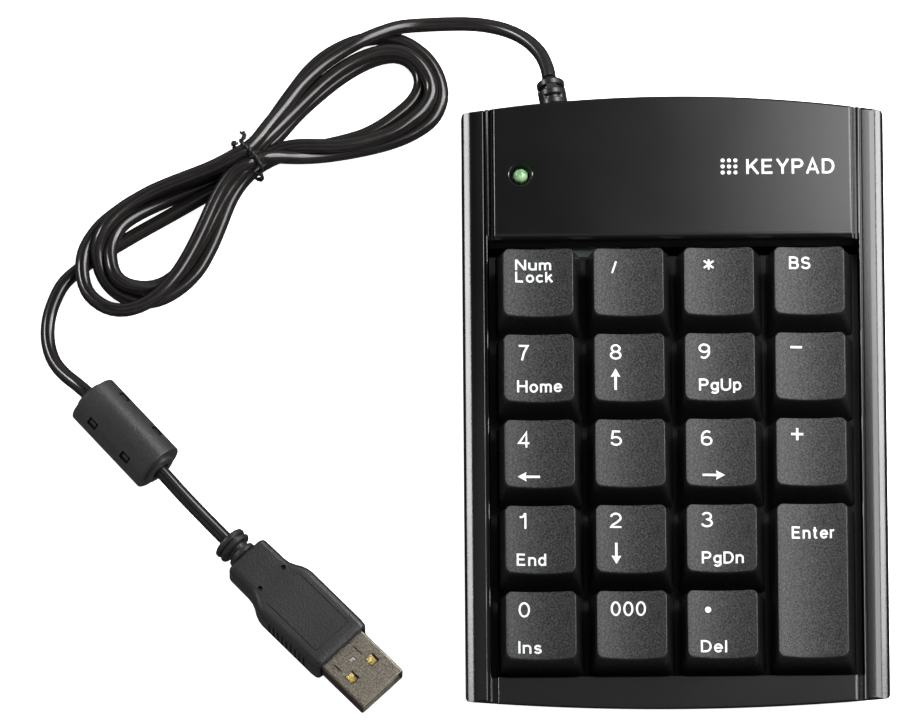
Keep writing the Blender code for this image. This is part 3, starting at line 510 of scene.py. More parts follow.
def settle(route, loose, diameter, rounds=320):
    """Lift and nudge the strands until they lie over and beside each other, in millimetres.

    Strands that would overlap push each other apart, mostly upwards, and the twist tie draws them together.
    """
    neighbours = 8
    share_by_axis = np.array([0.35, 0.35, 1.0])
    tie_strength, tie_spread, bundle_half = 0.035, 6.0, 12.0
    index = np.arange(len(route))
    near_in_line = np.abs(index[:, None] - index[None, :]) < neighbours
    tie_centre = np.array(TIE_CENTRE[:2]) / MM
    across = np.array(TIE_ACROSS[:2])
    from_tie = route[:, :2] - tie_centre
    tie_reach = np.exp(-((from_tie @ np.array(TIE_ALONG[:2])) / tie_spread) ** 2)
    pull = tie_strength * tie_reach * (np.abs(from_tie @ across) < bundle_half)
    shift = np.zeros_like(route)
    for _ in range(rounds):
        points = route + shift
        offset = points[:, None, :] - points[None, :, :]
        distance = np.linalg.norm(offset, axis=2)
        distance[near_in_line] = 10 * diameter
        overlap = np.clip(diameter - distance, 0, None) / np.maximum(distance, 0.01)
        push = (offset * overlap[:, :, None]).sum(axis=1) * share_by_axis
        shift += push * (0.25 * loose)[:, None]
        off_axis = (points[:, :2] - tie_centre) @ across
        shift[:, :2] -= (pull * loose * off_axis)[:, None] * across
        shift[:, :2] *= 0.995
        shift[1:-1] = 0.7 * shift[1:-1] + 0.15 * (shift[:-2] + shift[2:])
        shift[:, 2] = np.maximum(shift[:, 2], diameter / 2 - route[:, 2])
    for _ in range(4):
        shift[1:-1] = 0.5 * shift[1:-1] + 0.25 * (shift[:-2] + shift[2:])
    return route + shift


def cord_line():
    """The centre line of the whole cord, in metres."""
    spacing = 1.5
    points = smooth_route(np.array(LEAD + HANK + TAIL), spacing)
    index = np.arange(len(points))
    first = np.argmin(np.linalg.norm(points - np.array(LEAD[-2]), axis=1))
    last = np.argmin(np.linalg.norm(points - np.array(TAIL[2]), axis=1))
    loose = np.clip(np.minimum(index - first, last - index) / 6.0, 0, 1)
    points = settle(points, loose, 2 * CORD_RADIUS / MM + 0.04)
    return resampled(points, spacing) * MM


def curve_object(name, points, radius, material, resolution=6):
    """A round line through points."""
    curve = bpy.data.curves.new(name, "CURVE")
    curve.dimensions = "3D"
    curve.bevel_depth = radius
    curve.bevel_resolution = resolution
    curve.use_fill_caps = True
    spline = curve.splines.new("POLY")
    spline.points.add(len(points) - 1)
    for spot, point in zip(spline.points, points):
        spot.co = (*[float(value) for value in point], 1.0)
    spline.use_smooth = True
    curve.materials.append(material)
    return linked(name, curve)


CORD_LINE = cord_line()
cord = curve_object("cord", CORD_LINE, CORD_RADIUS, CORD_SKIN)
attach(cord, "case")
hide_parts("cord_lead", "cord_hank", "cord_tail")


# ---------------------------------------------------------------- twist tie

def make_twist_tie():
    """Two thin wires wound round each other, once round the bundle, with a short twisted tail."""
    wire_radius, pitch, spacing = 0.25 * MM, 2.2 * MM, 0.25 * MM
    band, bundle_half = 1.6 * MM, 12 * MM
    offset = CORD_LINE[:, :2] - np.array(TIE_CENTRE[:2])
    across, along = np.array(TIE_ACROSS[:2]), np.array(TIE_ALONG[:2])
    close = (np.abs(offset @ along) < band) & (np.abs(offset @ across) < bundle_half)
    strands = np.stack([offset[close] @ across, CORD_LINE[close, 2]], axis=1)
    middle = (strands.min(axis=0) + strands.max(axis=0)) / 2
    loop = []
    for step in range(73):
        angle = math.radians(60) + 2 * math.pi * step / 72
        direction = np.array([math.cos(angle), math.sin(angle)])
        reach = ((strands - middle) @ direction).max() + CORD_RADIUS + 0.1 * MM
        spot = middle + direction * reach
        drift = TIE_ALONG * (0.5 - step / 72) * MM
        lift = Vector((0, 0, max(spot[1], 0.65 * MM)))
        loop.append(TIE_CENTRE + TIE_ACROSS * spot[0] + lift + drift)
    tail = []
    for sideways, forward, lift in ((1.2, 1.3, 0.1), (0.4, 1.7, 0.7), (-0.2, 1.0, 0.7)):
        bend = TIE_ACROSS * sideways + TIE_ALONG * forward + Vector((0, 0, lift))
        tail.append(loop[0] + bend * MM)
    line = resampled(np.array([list(point) for point in tail + loop]), spacing)
    heading = np.gradient(line, axis=0)
    heading /= np.linalg.norm(heading, axis=1)[:, None]
    side = np.cross(heading, np.array(TIE_ALONG))
    side /= np.linalg.norm(side, axis=1)[:, None]
    other = np.cross(heading, side)
    turn = np.arange(len(line)) * spacing / pitch * 2 * math.pi
    wires = []
    for phase in (0, math.pi):
        shift = side * np.cos(turn + phase)[:, None] + other * np.sin(turn + phase)[:, None]
        points = line + shift * wire_radius
        points[:, 2] = np.maximum(points[:, 2], wire_radius + 0.07 * MM)
        wire = curve_object("wire", points, wire_radius, TIE_SKIN, 3)
        wires.append(evaluated_mesh(wire))
        bpy.data.objects.remove(wire, do_unlink=True)
    return piece_from("twist_tie_wires", joined(*wires), TIE_SKIN, "case", ["twist_tie"],
                      sharp=60)


TIE_SKIN = moulded_plastic("tie_plastic", grey(0.012), 0.35, 0.05, 1500, 0.02 * MM)
twist_tie = make_twist_tie()


# ---------------------------------------------------------------- case

def outline(inset, steps=48, corner=1.0 * MM):
    """The case seen from above, with bulging front and rear edges and small round corners."""
    half_width = HALF_WIDTH - inset
    radius = max(corner - inset, 0.15 * MM)
    points = []
    for sign, crown, reach in ((1, REAR_CROWN, CASE_REAR - inset), (-1, FRONT_CROWN, -CASE_FRONT - inset)):
        flank = half_width - radius
        end = reach - crown * (flank / half_width) ** 2
        corner_arc = []
        for step in range(6):
            angle = math.radians(90 - 15 * step)
            x = flank + radius * math.sin(angle)
            y = end - radius + radius * math.cos(angle)
            corner_arc.append((sign * x, sign * y))
        points += corner_arc
        for step in range(steps + 1):
            x = sign * flank * (1 - 2 * step / steps)
            points.append((x, sign * (reach - crown * (x / half_width) ** 2)))
        points += [(-x, y) for x, y in reversed(corner_arc)]
    return points


def leaned(x, y, z):
    """A point of the case outline at a height. The front wall leans in under its edge."""
    if y < 0:
        y -= UPPER_LEAN * min(max(z, -COVER_DEPTH), 0) + LOWER_LEAN * min(z + COVER_DEPTH, 0)
    return (x, y, z)


def outline_loft(levels):
    """A closed solid through the case outline at (inset, height) levels. A height may be a function of y."""
    rings = []
    for inset, height in levels:
        rings.append([leaned(x, y, height(y) if callable(height) else height) for x, y in outline(inset)])
    return loft_mesh(rings)


def rail_profile():
    """Half of the upper surface's cross section: panel, stepped edge, groove, ridge, groove, round rail."""
    edge = [(0, 0), (37.3, 0), (37.5, -0.04), (37.68, -0.14), (37.8, -0.32), (37.86, -0.9), (38.1, -0.9)]
    step = [(38.14, -0.3), (38.2, -0.16), (38.34, -0.16), (38.42, -0.32), (38.46, -1.1), (38.82, -1.1)]
    ridge = [(38.86, -0.3), (38.95, -0.1), (39.3, -0.04), (39.48, -0.1), (39.58, -0.28), (39.62, -1.2)]
    groove = [(39.9, -1.2), (39.95, -0.1), (40.0, 0.02), (40.12, 0.07)]
    rail = [(41.6, 0.07), (42.1, 0.01), (42.6, -0.12), (42.95, -0.27), (43.4, -0.51), (44.0, -0.85),
            (44.2, -1.02), (44.4, -1.4), (44.52, -2.0), (44.6, -3.2)]
    return in_metres(edge + step + ridge + groove + rail)


def well_cutter():
    """The key well's space. Its upper edges flare with a wide round at the rear and a small one elsewhere."""
    rear_round, side_round = 1.5 * MM, 0.3 * MM

    def flare(radius, height):
        """How far a rounded upper edge has opened at a height."""
        depth = min(max(height + radius, 0), radius)
        return radius - math.sqrt(max(radius ** 2 - depth ** 2, 0))

    heights = [-20 * MM] + [-rear_round * (1 - step / 12) for step in range(13)] + [3 * MM]
    rings = []
    for height in heights:
        half_x = WELL_HALF_WIDTH + flare(side_round, height)
        front = WELL_FRONT - flare(side_round, height)
        rear = WELL_REAR + flare(rear_round, height)
        rings.append([(half_x, rear, height), (-half_x, rear, height),
                      (-half_x, front, height), (half_x, front, height)])
    return loft_mesh(rings)


def make_top_cover():
    """The rail profile drawn along the case and cut to its outline, with a hollow, a well and a lamp hole."""
    half = rail_profile()
    wide, deep = HALF_WIDTH + 0.1 * MM, -COVER_DEPTH - 1 * MM
    section = [(-x, z) for x, z in reversed(half)] + half[1:] + [(wide, deep), (-wide, deep)]
    length = 75 * MM
    body = loft_mesh([[(x, y, z) for x, z in section] for y in (-length, length)])

    rim = 1.0 * MM
    levels = [(0, -COVER_DEPTH)]
    for step in range(11):
        angle = math.radians(9 * step)
        levels.append((rim * (1 - math.cos(angle)), rim * (math.sin(angle) - 0.9)))
    levels.append((rim * 1.05, 3 * MM))
    body = boolean(body, outline_loft(levels), "INTERSECT")

    wall, skin, well_wall = 2 * MM, 2.4 * MM, 1.2 * MM
    cavity = outline_loft([(wall, -COVER_DEPTH - 2 * MM), (wall, -skin)])
    well = box_mesh((-WELL_HALF_WIDTH - well_wall, WELL_FRONT - well_wall, -9 * MM),
                    (WELL_HALF_WIDTH + well_wall, WELL_REAR + well_wall, 0))
    body = boolean(body, boolean(cavity, well))
    body = boolean(body, well_cutter())

    lamp_hole = turned_mesh(in_metres([(1.9, -6), (1.9, -1.0), (2.15, -0.75), (2.3, -0.35), (2.45, -0.1),
                                       (2.65, 0.02), (2.65, 2)]))
    body = boolean(body, moved(lamp_hole, Matrix.Translation(LED_PLACE)))
    return piece_from("top_cover_shell", moved(body, DECK), CASE, "case", ["top_cover"],
                      sharp=25, weighted=True)


make_top_cover()


def level(height):
    """The deck frame's height of a level plane that is this high over the table."""
    return lambda y: (height - DECK_HEIGHT - y * math.sin(DECK_TILT)) / math.cos(DECK_TILT)


FOOT_X, FOOT_Y = 30 * MM, 48 * MM
COVER_SCREWS = [(-36 * MM, 56 * MM), (36 * MM, 56 * MM)]
DECK_SCREWS = [(-PITCH, KEY_FIELD_Y - 1.5 * PITCH), (PITCH, KEY_FIELD_Y - 1.5 * PITCH),
               (0.0, KEY_FIELD_Y + 1.5 * PITCH)]
RELIEF_FRAME = Matrix.Translation(RELIEF_START) @ turned_to((RELIEF_END - RELIEF_START).normalized())


def make_bottom_cover():
    """Drafted tray with a rounded lower edge, screw recesses and foot recesses."""
    rim, inset, draft, underside = -COVER_DEPTH - 0.3 * MM, 0.4 * MM, 3.6 * MM, 1.0 * MM
    levels = [(inset, rim), (inset + draft * 0.94, level(underside + 0.9 * MM)),
              (inset + draft * 1.0, level(underside + 0.35 * MM)), (inset + draft * 1.12, level(underside))]
    tray = outline_loft(levels)
    hollow = outline_loft([(2.15 * MM, rim + 1 * MM), (draft + 1.9 * MM, level(underside + 1.8 * MM))])
    tray = boolean(tray, hollow)
    for place in COVER_SCREWS + DECK_SCREWS:
        floor = level(underside)(place[1])
        recess = turned_mesh([(2.8 * MM, floor - 2 * MM), (2.8 * MM, floor + 2.9 * MM)], 32)
        tray = boolean(tray, moved(recess, Matrix.Translation((*place, 0))))
    to_deck = DECK.inverted()
    for x in (-FOOT_X, FOOT_X):
        for y in (-FOOT_Y, FOOT_Y):
            recess = turned_mesh(in_metres([(5.4, -1), (5.4, 1.8)]))
            tray = boolean(tray, moved(recess, to_deck @ Matrix.Translation((x, y, 0))))
    hole = turned_mesh(in_metres([(2.55, -8), (2.55, 8)]), 32)
    tray = boolean(tray, moved(hole, to_deck @ RELIEF_FRAME))
    return piece_from("bottom_cover_shell", moved(tray, DECK), CASE, "case", ["bottom_cover"],
                      sharp=25, weighted=True)


make_bottom_cover()


def make_lamp():
    """Three-millimetre lamp: domed lens, flange and two leads."""
    place = DECK @ Matrix.Translation(LED_PLACE)
    shoulder, rise = -0.95 * MM, LED_RADIUS * 0.85
    profile = [(1.85 * MM, -4.8 * MM), (1.85 * MM, -3.9 * MM), (LED_RADIUS, -3.85 * MM)]
    for step in range(10):
        angle = math.radians(9 * step)
        profile.append((LED_RADIUS * math.cos(angle), shoulder + rise * math.sin(angle)))
    profile.append((0.05 * MM, shoulder + rise))
    piece_from("indicator_lamp", turned_mesh(profile), LAMP, "case", ["indicator_led"], place)
    leads = [box_about((side * 0.9, 0, -9.7), (0.5, 0.5, 10)) for side in (-1, 1)]
    piece_from("indicator_leads", joined(*leads), STEEL, "case", (), place)


make_lamp()


# ---------------------------------------------------------------- keys

KEY_ROWS = [
    ["num_lock", "divide", "multiply", "backspace"],
    ["7", "8", "9", "minus"],
    ["4", "5", "6", "plus"],
    ["1", "2", "3", "enter"],
    ["0", "triple_zero", "decimal"],
]
PRINT_SHIFT = Vector((-0.35, 0.85, 0)) * MM
TOP_HALF_X = KEY_BASE / 2 - KEY_SIDE_TAPER


def top_height(x):
    """Height of a key's dished top over its base, lowest along its middle."""
    return KEY_HEIGHT - KEY_DISH * (1 - min(abs(x) / TOP_HALF_X, 1.0) ** 2)


def key_ring(depth, rise, inset=0.0, drop=0.0):
    """One ring of a keycap's skin: its rise up the skirt, its inset, and its drop under the dished top."""
    half_x = KEY_BASE / 2 - KEY_SIDE_TAPER * rise - inset
    rear = depth / 2 - KEY_REAR_TAPER * rise - inset
    front = depth / 2 - KEY_FRONT_TAPER * rise - inset
    middle, half_y = (rear - front) / 2, (rear + front) / 2
    radius = max(0.9 * MM + 0.45 * MM * rise - inset, 0.12 * MM)
    ring = []
    for point in rounded_rectangle(half_x, half_y, radius):
        bow = 0.28 * MM * rise * (1 - min(abs(point.x) / half_x, 1) ** 2) if point.y < 0 else 0
        bow *= max(0.0, -point.y / half_y)
        ring.append(Vector((point.x, point.y + middle - bow, top_height(point.x) * rise - drop)))
    return ring


def keycap_mesh(depth):
    """Keycap with a glossy skirt, a small round at the top edge, a dished and textured top, and a hollow."""
    fillet = 0.22 * MM
    rises = [0.0, 0.06] + [step / 8 for step in range(1, 8)] + [1 - fillet / KEY_HEIGHT]
    skirt = [key_ring(depth, rise) for rise in rises]
    edge = []
    for step in range(1, 6):
        angle = math.radians(18 * step)
        edge.append(key_ring(depth, 1.0, fillet * (1 - math.cos(angle)), fillet * (1 - math.sin(angle))))
    top_end = KEY_BASE / 2 - KEY_SIDE_TAPER - 0.4 * MM
    top = [key_ring(depth, 1.0, fillet + (top_end - fillet) * step / 10) for step in range(1, 11)]
    rings = skirt + edge + top
    count = len(rings[0])

    def build(shape):
        loops = [[shape.verts.new(point) for point in ring] for ring in rings]
        for row, (lower, upper) in enumerate(zip(loops, loops[1:])):
            for index in range(count):
                after = (index + 1) % count
                face = shape.faces.new((lower[index], lower[after], upper[after], upper[index]))
                face.material_index = 1 if row < len(skirt) + 2 else 0
        shape.faces.new(loops[-1])
        mouth = [shape.verts.new(point) for point in key_ring(depth, 0.0, KEY_SKIN)]
        ceiling = [shape.verts.new(point) for point in key_ring(depth, 0.82, KEY_SKIN)]
        for lower, upper in ((loops[0], mouth), (mouth, ceiling)):
            for index in range(count):
                after = (index + 1) % count
                face = shape.faces.new((lower[after], lower[index], upper[index], upper[after]))
                face.material_index = 1
        shape.faces.new(ceiling).material_index = 1
    mesh = mesh_from(build)
    mesh.materials.append(KEY_TOP_SKIN)
    mesh.materials.append(SKIRT)
    return mesh


def stem_mesh():
    """The round stem under a key, with a bore in its lower end."""
    foot, ceiling = -9.3 * MM - (KEY_TOP - KEY_HEIGHT), KEY_HEIGHT * 0.8
    bore, radius, round_edge = 1.5 * MM, 2.4 * MM, 0.2 * MM
    return turned_mesh([(bore - 0.1 * MM, foot + 2 * MM), (bore, foot), (radius - round_edge, foot),
                        (radius, foot + 0.3 * MM), (radius, ceiling)], 32)


def arc(x, y, radius_x, radius_y, start, end):
    """Points along an oval's edge, about every 15 degrees."""
    steps = max(3, round(abs(end - start) / 15))
    angles = [math.radians(start + (end - start) * step / steps) for step in range(steps + 1)]
    return [(x + radius_x * math.cos(angle), y + radius_y * math.sin(angle)) for angle in angles]


def oval(x, y, radius_x, radius_y):
    """A whole closed oval."""
    return arc(x, y, radius_x, radius_y, 0, 360)


STEM = [(0, 0), (0, 1)]
SHORT_STEM = [(0, 0), (0, 0.73)]
SIX = [oval(0.25, 0.31, 0.23, 0.24), arc(0.27, 0.5, 0.25, 0.43, 55, 205)]
# Plain upright letters as pen strokes. A capital is one unit high, and x starts at the left stroke's middle.
GLYPHS = {
    "A": [[(0, 0), (0.31, 0.98), (0.62, 0)], [(0.1, 0.3), (0.52, 0.3)]],
    "B": [STEM, [(0, 0.93), *arc(0.32, 0.725, 0.18, 0.205, 90, -90), (0, 0.52)],
          [(0.3, 0.52), *arc(0.34, 0.295, 0.2, 0.225, 90, -90), (0, 0.07)]],
    "D": [STEM, [(0, 0.93), *arc(0.24, 0.5, 0.32, 0.43, 90, -90), (0, 0.07)]],
    "E": [[(0.5, 0.93), (0, 0.93), (0, 0.07), (0.52, 0.07)], [(0, 0.52), (0.46, 0.52)]],
    "H": [STEM, [(0.57, 0), (0.57, 1)], [(0, 0.52), (0.57, 0.52)]],
    "I": [STEM],
    "K": [STEM, [(0.0, 0.36), (0.53, 1)], [(0.2, 0.58), (0.58, 0)]],
    "L": [[(0, 1), (0, 0.07), (0.48, 0.07)]],
    "N": [STEM, [(0.02, 0.97), (0.56, 0.03)], [(0.58, 0), (0.58, 1)]],
    "P": [STEM, [(0, 0.93), *arc(0.29, 0.7, 0.22, 0.23, 90, -90), (0, 0.47)]],
    "S": [arc(0.28, 0.72, 0.23, 0.21, 15, 265) + arc(0.28, 0.29, 0.26, 0.22, 85, -165)],
    "U": [[(0, 1), *arc(0.28, 0.33, 0.28, 0.26, 180, 360), (0.56, 1)]],
    "Y": [[(0, 1), (0.3, 0.45), (0.3, 0)], [(0.6, 1), (0.3, 0.45)]],
    "c": [arc(0.22, 0.365, 0.22, 0.3, 40, 320)],
    "d": [oval(0.21, 0.365, 0.21, 0.3), [(0.42, 0), (0.42, 1)]],
    "e": [[(0.02, 0.38), *arc(0.22, 0.365, 0.22, 0.3, 3, 325)]],
    "g": [oval(0.21, 0.38, 0.21, 0.28), [(0.42, 0.73), *arc(0.21, -0.03, 0.21, 0.15, 0, -155)]],
    "k": [STEM, [(0.0, 0.26), (0.38, 0.73)], [(0.15, 0.44), (0.42, 0)]],
    "l": [STEM],
    "m": [SHORT_STEM, [*arc(0.165, 0.48, 0.165, 0.18, 170, 0), (0.33, 0)],
          [*arc(0.495, 0.48, 0.165, 0.18, 170, 0), (0.66, 0)]],
    "n": [SHORT_STEM, [*arc(0.205, 0.46, 0.205, 0.2, 170, 0), (0.41, 0)]],
    "o": [oval(0.22, 0.365, 0.22, 0.3)],
    "p": [[(0, -0.2), (0, 0.73)], oval(0.21, 0.365, 0.21, 0.3)],
    "r": [SHORT_STEM, arc(0.2, 0.44, 0.2, 0.22, 175, 80)],
    "s": [arc(0.19, 0.51, 0.16, 0.15, 15, 265) + arc(0.19, 0.215, 0.18, 0.15, 85, -165)],
    "t": [[(0.12, 0.95), *arc(0.24, 0.2, 0.12, 0.13, 180, 270), (0.29, 0.07)], [(0, 0.67), (0.28, 0.67)]],
    "u": [[(0, 0.73), *arc(0.205, 0.27, 0.205, 0.2, 180, 350)], [(0.41, 0), (0.41, 0.73)]],
    "0": [oval(0.24, 0.5, 0.24, 0.43)],
    "1": [[(0.0, 0.73), (0.13, 0.76), (0.22, 0.86), (0.25, 1.0)], [(0.27, 0), (0.27, 1)]],
    "2": [arc(0.24, 0.67, 0.23, 0.26, 170, -25) + [(0.3, 0.38), (0.1, 0.22), (0.02, 0.07), (0.5, 0.07)]],
    "3": [arc(0.23, 0.72, 0.2, 0.21, 160, -80) + arc(0.23, 0.29, 0.24, 0.22, 80, -165)],
    "4": [[(0.39, 0), (0.39, 0.96), (0.02, 0.28), (0.54, 0.28)]],
    "5": [[(0.45, 0.93), (0.1, 0.93), (0.05, 0.5), *arc(0.24, 0.32, 0.24, 0.25, 135, -160)]],
    "6": SIX,
    "7": [[(0, 0.93), (0.48, 0.93), (0.28, 0.5), (0.17, 0)]],
    "8": [oval(0.25, 0.72, 0.2, 0.21), oval(0.25, 0.29, 0.24, 0.22)],
    "9": [[(0.5 - x, 1 - y) for x, y in stroke] for stroke in SIX],
    "/": [[(0, 0), (0.3, 1)]],
    "*": [[(0.02, 0.25), (0.4, 0.75)], [(0.4, 0.25), (0.02, 0.75)], [(0.21, 0.15), (0.21, 0.85)]],
}
LETTER_GAP = 0.27


def pen_stroke(points, weight):
    """A flat ribbon of even width along a line."""
    line = np.array(points)
    closed = np.linalg.norm(line[0] - line[-1]) < 1e-9
    step = np.diff(line, axis=0)
    step /= np.linalg.norm(step, axis=1)[:, None]
    before = np.vstack([step[-1:] if closed else step[:1], step])
    after = np.vstack([step, step[:1] if closed else step[-1:]])
    heading = before + after
    side = np.stack([-heading[:, 1], heading[:, 0]], axis=1)
    side /= np.linalg.norm(side, axis=1)[:, None]
    normal = np.stack([-after[:, 1], after[:, 0]], axis=1)
    reach = weight / 2 / np.clip((side * normal).sum(axis=1), 0.45, 1)
    left, right = line + side * reach[:, None], line - side * reach[:, None]

    def build(shape):
        edge = [[shape.verts.new((x, y, 0)) for x, y in points] for points in (left, right)]
        for index in range(len(line) - 1):
            shape.faces.new((edge[0][index], edge[1][index], edge[1][index + 1], edge[0][index + 1]))
    return mesh_from(build)


def words_at(words, left, baseline, cap_height, width, weight):
    """Lettering from its ink's left edge, baseline, capital height, whole width and stroke width."""
    pen, strokes = 0.0, []
    for letter in words:
        glyph = GLYPHS[letter]
        strokes += [[(x + pen, y) for x, y in stroke] for stroke in glyph]
        pen += max(x for stroke in glyph for x, y in stroke) + LETTER_GAP
    scale = (width - weight) / max(pen - LETTER_GAP, 1e-6)
    start = left + weight / 2
    ribbons = []
    for stroke in strokes:
        line = [(start + x * scale, baseline + y * cap_height) for x, y in stroke]
        ribbons.append(pen_stroke(line, weight))
    return joined(*ribbons)


def polygon_mesh(points):
    """One flat face."""
    return mesh_from(lambda shape: shape.faces.new([shape.verts.new((x, y, 0)) for x, y in points]))


def arrow_at(turn, x, y, length):
    """An arrow with a slim shaft, pointing right before it is turned."""
    half, wing, shaft = length / 2, length * 0.22, length * 0.055
    neck, barb = half - length * 0.36, half - length * 0.396
    points = [(-half, -shaft), (neck, -shaft), (barb, -wing), (half, 0), (barb, wing), (neck, shaft),
              (-half, shaft)]
    place = Matrix.Translation((x, y, 0)) @ Matrix.Rotation(math.radians(turn), 4, "Z")
    return moved(polygon_mesh(points), place)


def dot_at(x, y, radius):
    """A round spot."""
    angles = [2 * math.pi * step / 24 for step in range(24)]
    return polygon_mesh([(x + radius * math.cos(angle), y + radius * math.sin(angle)) for angle in angles])


def bar_at(x, y, length, thick):
    """A level bar about its middle."""
    half_x, half_y = length / 2, thick / 2
    return polygon_mesh([(x - half_x, y - half_y), (x + half_x, y - half_y),
                         (x + half_x, y + half_y), (x - half_x, y + half_y)])


def legends():
    """What is printed on each key. Places and sizes are in millimetres from the middle of the key's top."""
    def word(text, left, baseline, cap, width, weight=0.42):
        return words_at(text, left * MM, baseline * MM, cap * MM, width * MM, weight * MM)

    def arrow(turn, x, y, length=4.7):
        return arrow_at(turn, x * MM, y * MM, length * MM)

    def bar(x, y, length, thick):
        return bar_at(x * MM, y * MM, length * MM, thick * MM)

    digit, small = 3.45, 2.65
    return {
        "num_lock": [word("Num", -4.5, 2.5, 2.3, 7.6), word("Lock", -4.5, -0.2, 2.3, 8.0)],
        "divide": [word("/", -3.3, 1.7, 2.6, 1.2, 0.35)],
        "multiply": [word("*", -3.1, 1.9, 3.2, 2.5, 0.38)],
        "backspace": [word("BS", -3.9, 2.3, 2.75, 4.5)],
        "7": [word("7", -4.1, 1.45, digit, 2.3), word("Home", -4.3, -5.7, small, 9.5)],
        "8": [word("8", -3.8, 1.45, digit, 2.5), arrow(90, -2.6, -2.9)],
        "9": [word("9", -4.2, 1.45, digit, 2.5), word("PgUp", -4.1, -5.6, small, 8.9)],
        "minus": [bar(-2.6, 3.9, 2.4, 0.5)],
        "4": [word("4", -4.3, 1.1, digit, 2.7), arrow(180, -2.0, -5.4)],
        "5": [word("5", -3.9, 1.3, digit, 2.5)],
        "6": [word("6", -3.9, 1.2, digit, 2.5), arrow(0, -1.2, -5.3)],
        "plus": [bar(-2.6, 3.6, 2.5, 0.5), bar(-2.6, 3.6, 0.5, 2.7)],
        "1": [word("1", -4.2, 2.1, digit, 1.6), word("End", -4.7, -6.1, small, 6.2)],
        "2": [word("2", -4.1, 2.1, digit, 2.6), arrow(-90, -2.8, -3.5)],
        "3": [word("3", -4.0, 2.1, digit, 2.5), word("PgDn", -3.9, -5.9, small, 8.8)],
        "enter": [word("Enter", -4.0, 9.0, small, 9.1)],
        "0": [word("0", -4.4, 1.45, digit, 2.4), word("Ins", -4.5, -6.5, small, 4.9)],
        "triple_zero": [word("000", -4.1, 1.65, digit * 0.95, 7.4)],
        "decimal": [dot_at(-2.7 * MM, 2.9 * MM, 0.66 * MM), word("Del", -4.3, -6.5, small, 5.5)],
    }


def printed(meshes, height_at, thickness=0.03 * MM):
    """Thin ink that follows the surface it is printed on."""
    shape = bmesh.new()
    for mesh in meshes:
        shape.from_mesh(mesh)
    bmesh.ops.remove_doubles(shape, verts=shape.verts, dist=0.002 * MM)
    bmesh.ops.triangulate(shape, faces=shape.faces)
    for face in shape.faces:
        if face.normal.z < 0:
            face.normal_flip()
    for vert in shape.verts:
        vert.co.z = height_at(vert.co.x, vert.co.y) + 0.012 * MM
    raised = bmesh.ops.extrude_face_region(shape, geom=list(shape.faces))["geom"]
    upper = [item for item in raised if isinstance(item, bmesh.types.BMVert)]
    bmesh.ops.translate(shape, vec=(0, 0, thickness), verts=upper)
    bmesh.ops.recalc_face_normals(shape, faces=shape.faces)
    return finished(shape)


def make_keys():
    """Every keycap with its stem and its legend, each riding on its own key's body."""
    single, double = keycap_mesh(KEY_BASE), keycap_mesh(KEY_BASE + PITCH)
    marks = legends()
    for row, names in enumerate(KEY_ROWS):
        for column, name in enumerate(names):
            tall = name == "enter"
            body = f"{name}_key"
            y = KEY_FIELD_Y + (2 - row) * PITCH - (PITCH / 2 if tall else 0)
            place = DECK @ Matrix.Translation(((column - 1.5) * PITCH, y, KEY_TOP - KEY_HEIGHT))
            cap = (double if tall else single).copy()
            piece_from(f"keycap_{name}", cap, None, body, [f"key_{name}"], place, 40)
            piece_from(f"stem_{name}", stem_mesh(), SKIRT, body, (), place)
            ink = printed(marks[name], lambda x, y: top_height(x + PRINT_SHIFT.x))
            ink = moved(ink, Matrix.Translation(PRINT_SHIFT))
            piece_from(f"legend_{name}", ink, PRINT, body, (), place)


make_keys()


def make_mark():
    """A plain generic mark on the bezel: a small block of nine dots and the word for the thing itself."""
    step = 1.35 * MM
    dots = []
    for row in range(3):
        for column in range(3):
            dots.append(dot_at(column * step, row * step + 0.35 * MM, 0.42 * MM))
    words = words_at("KEYPAD", 5.0 * MM, 0, 3.3 * MM, 18.6 * MM, 0.5 * MM)
    ink = printed([*dots, words], lambda x, y: 0.0)
    place = DECK @ Matrix.Translation((10.6 * MM, 50.2 * MM, 0))
    piece_from("bezel_mark", ink, PRINT, "case", (), place)


make_mark()


# ---------------------------------------------------------------- strain relief, choke and plug

def make_strain_relief():
    """Moulded grommet: inner flange, neck, and a slotted sleeve of rings outside."""
    length = (RELIEF_END - RELIEF_START).length
    flange, neck, rib = 3.8 * MM, 2.25 * MM, 3.0 * MM
    wall_end, round_edge = 0.7 * MM, 0.25 * MM
    profile = [(flange, -4.8 * MM), (flange, -3.6 * MM), (neck, -3.6 * MM), (neck, wall_end)]
    rings = 4
    step = (length - wall_end) / rings
    for index in range(rings):
        start = wall_end + index * step
        width = rib + (0.05 - 0.03 * index) * MM
        finish = start + step * 0.66
        profile += [(width - round_edge, start), (width, start + round_edge), (width, finish - round_edge),
                    (width - round_edge, finish)]
        if index < rings - 1:
            profile += [(neck, finish + 0.02 * MM), (neck, start + step - 0.02 * MM)]
    profile += [(2.0 * MM, length - 0.35 * MM), (1.75 * MM, length)]
    sleeve = turned_mesh(profile)
    for index in range(rings - 1):
        start = wall_end + index * step + step * 0.6
        for turn in range(3):
            bridge = box_mesh((-1.0 * MM, 1.5 * MM, start), (1.0 * MM, 2.85 * MM, start + step * 0.45))
            spin = Matrix.Rotation(math.radians(120 * turn + 60 * (index % 2)), 4, "Z")
            sleeve = boolean(sleeve, moved(bridge, spin), "UNION")
    return piece_from("strain_relief_sleeve", sleeve, RELIEF, "case", ["strain_relief"],
                      RELIEF_FRAME, sharp=30)


strain_relief = make_strain_relief()


CHOKE_WINDOWS = [(-4.6 * MM, -5.2 * MM), (-4.6 * MM, 5.0 * MM), (4.6 * MM, -5.2 * MM), (4.6 * MM, 5.0 * MM)]


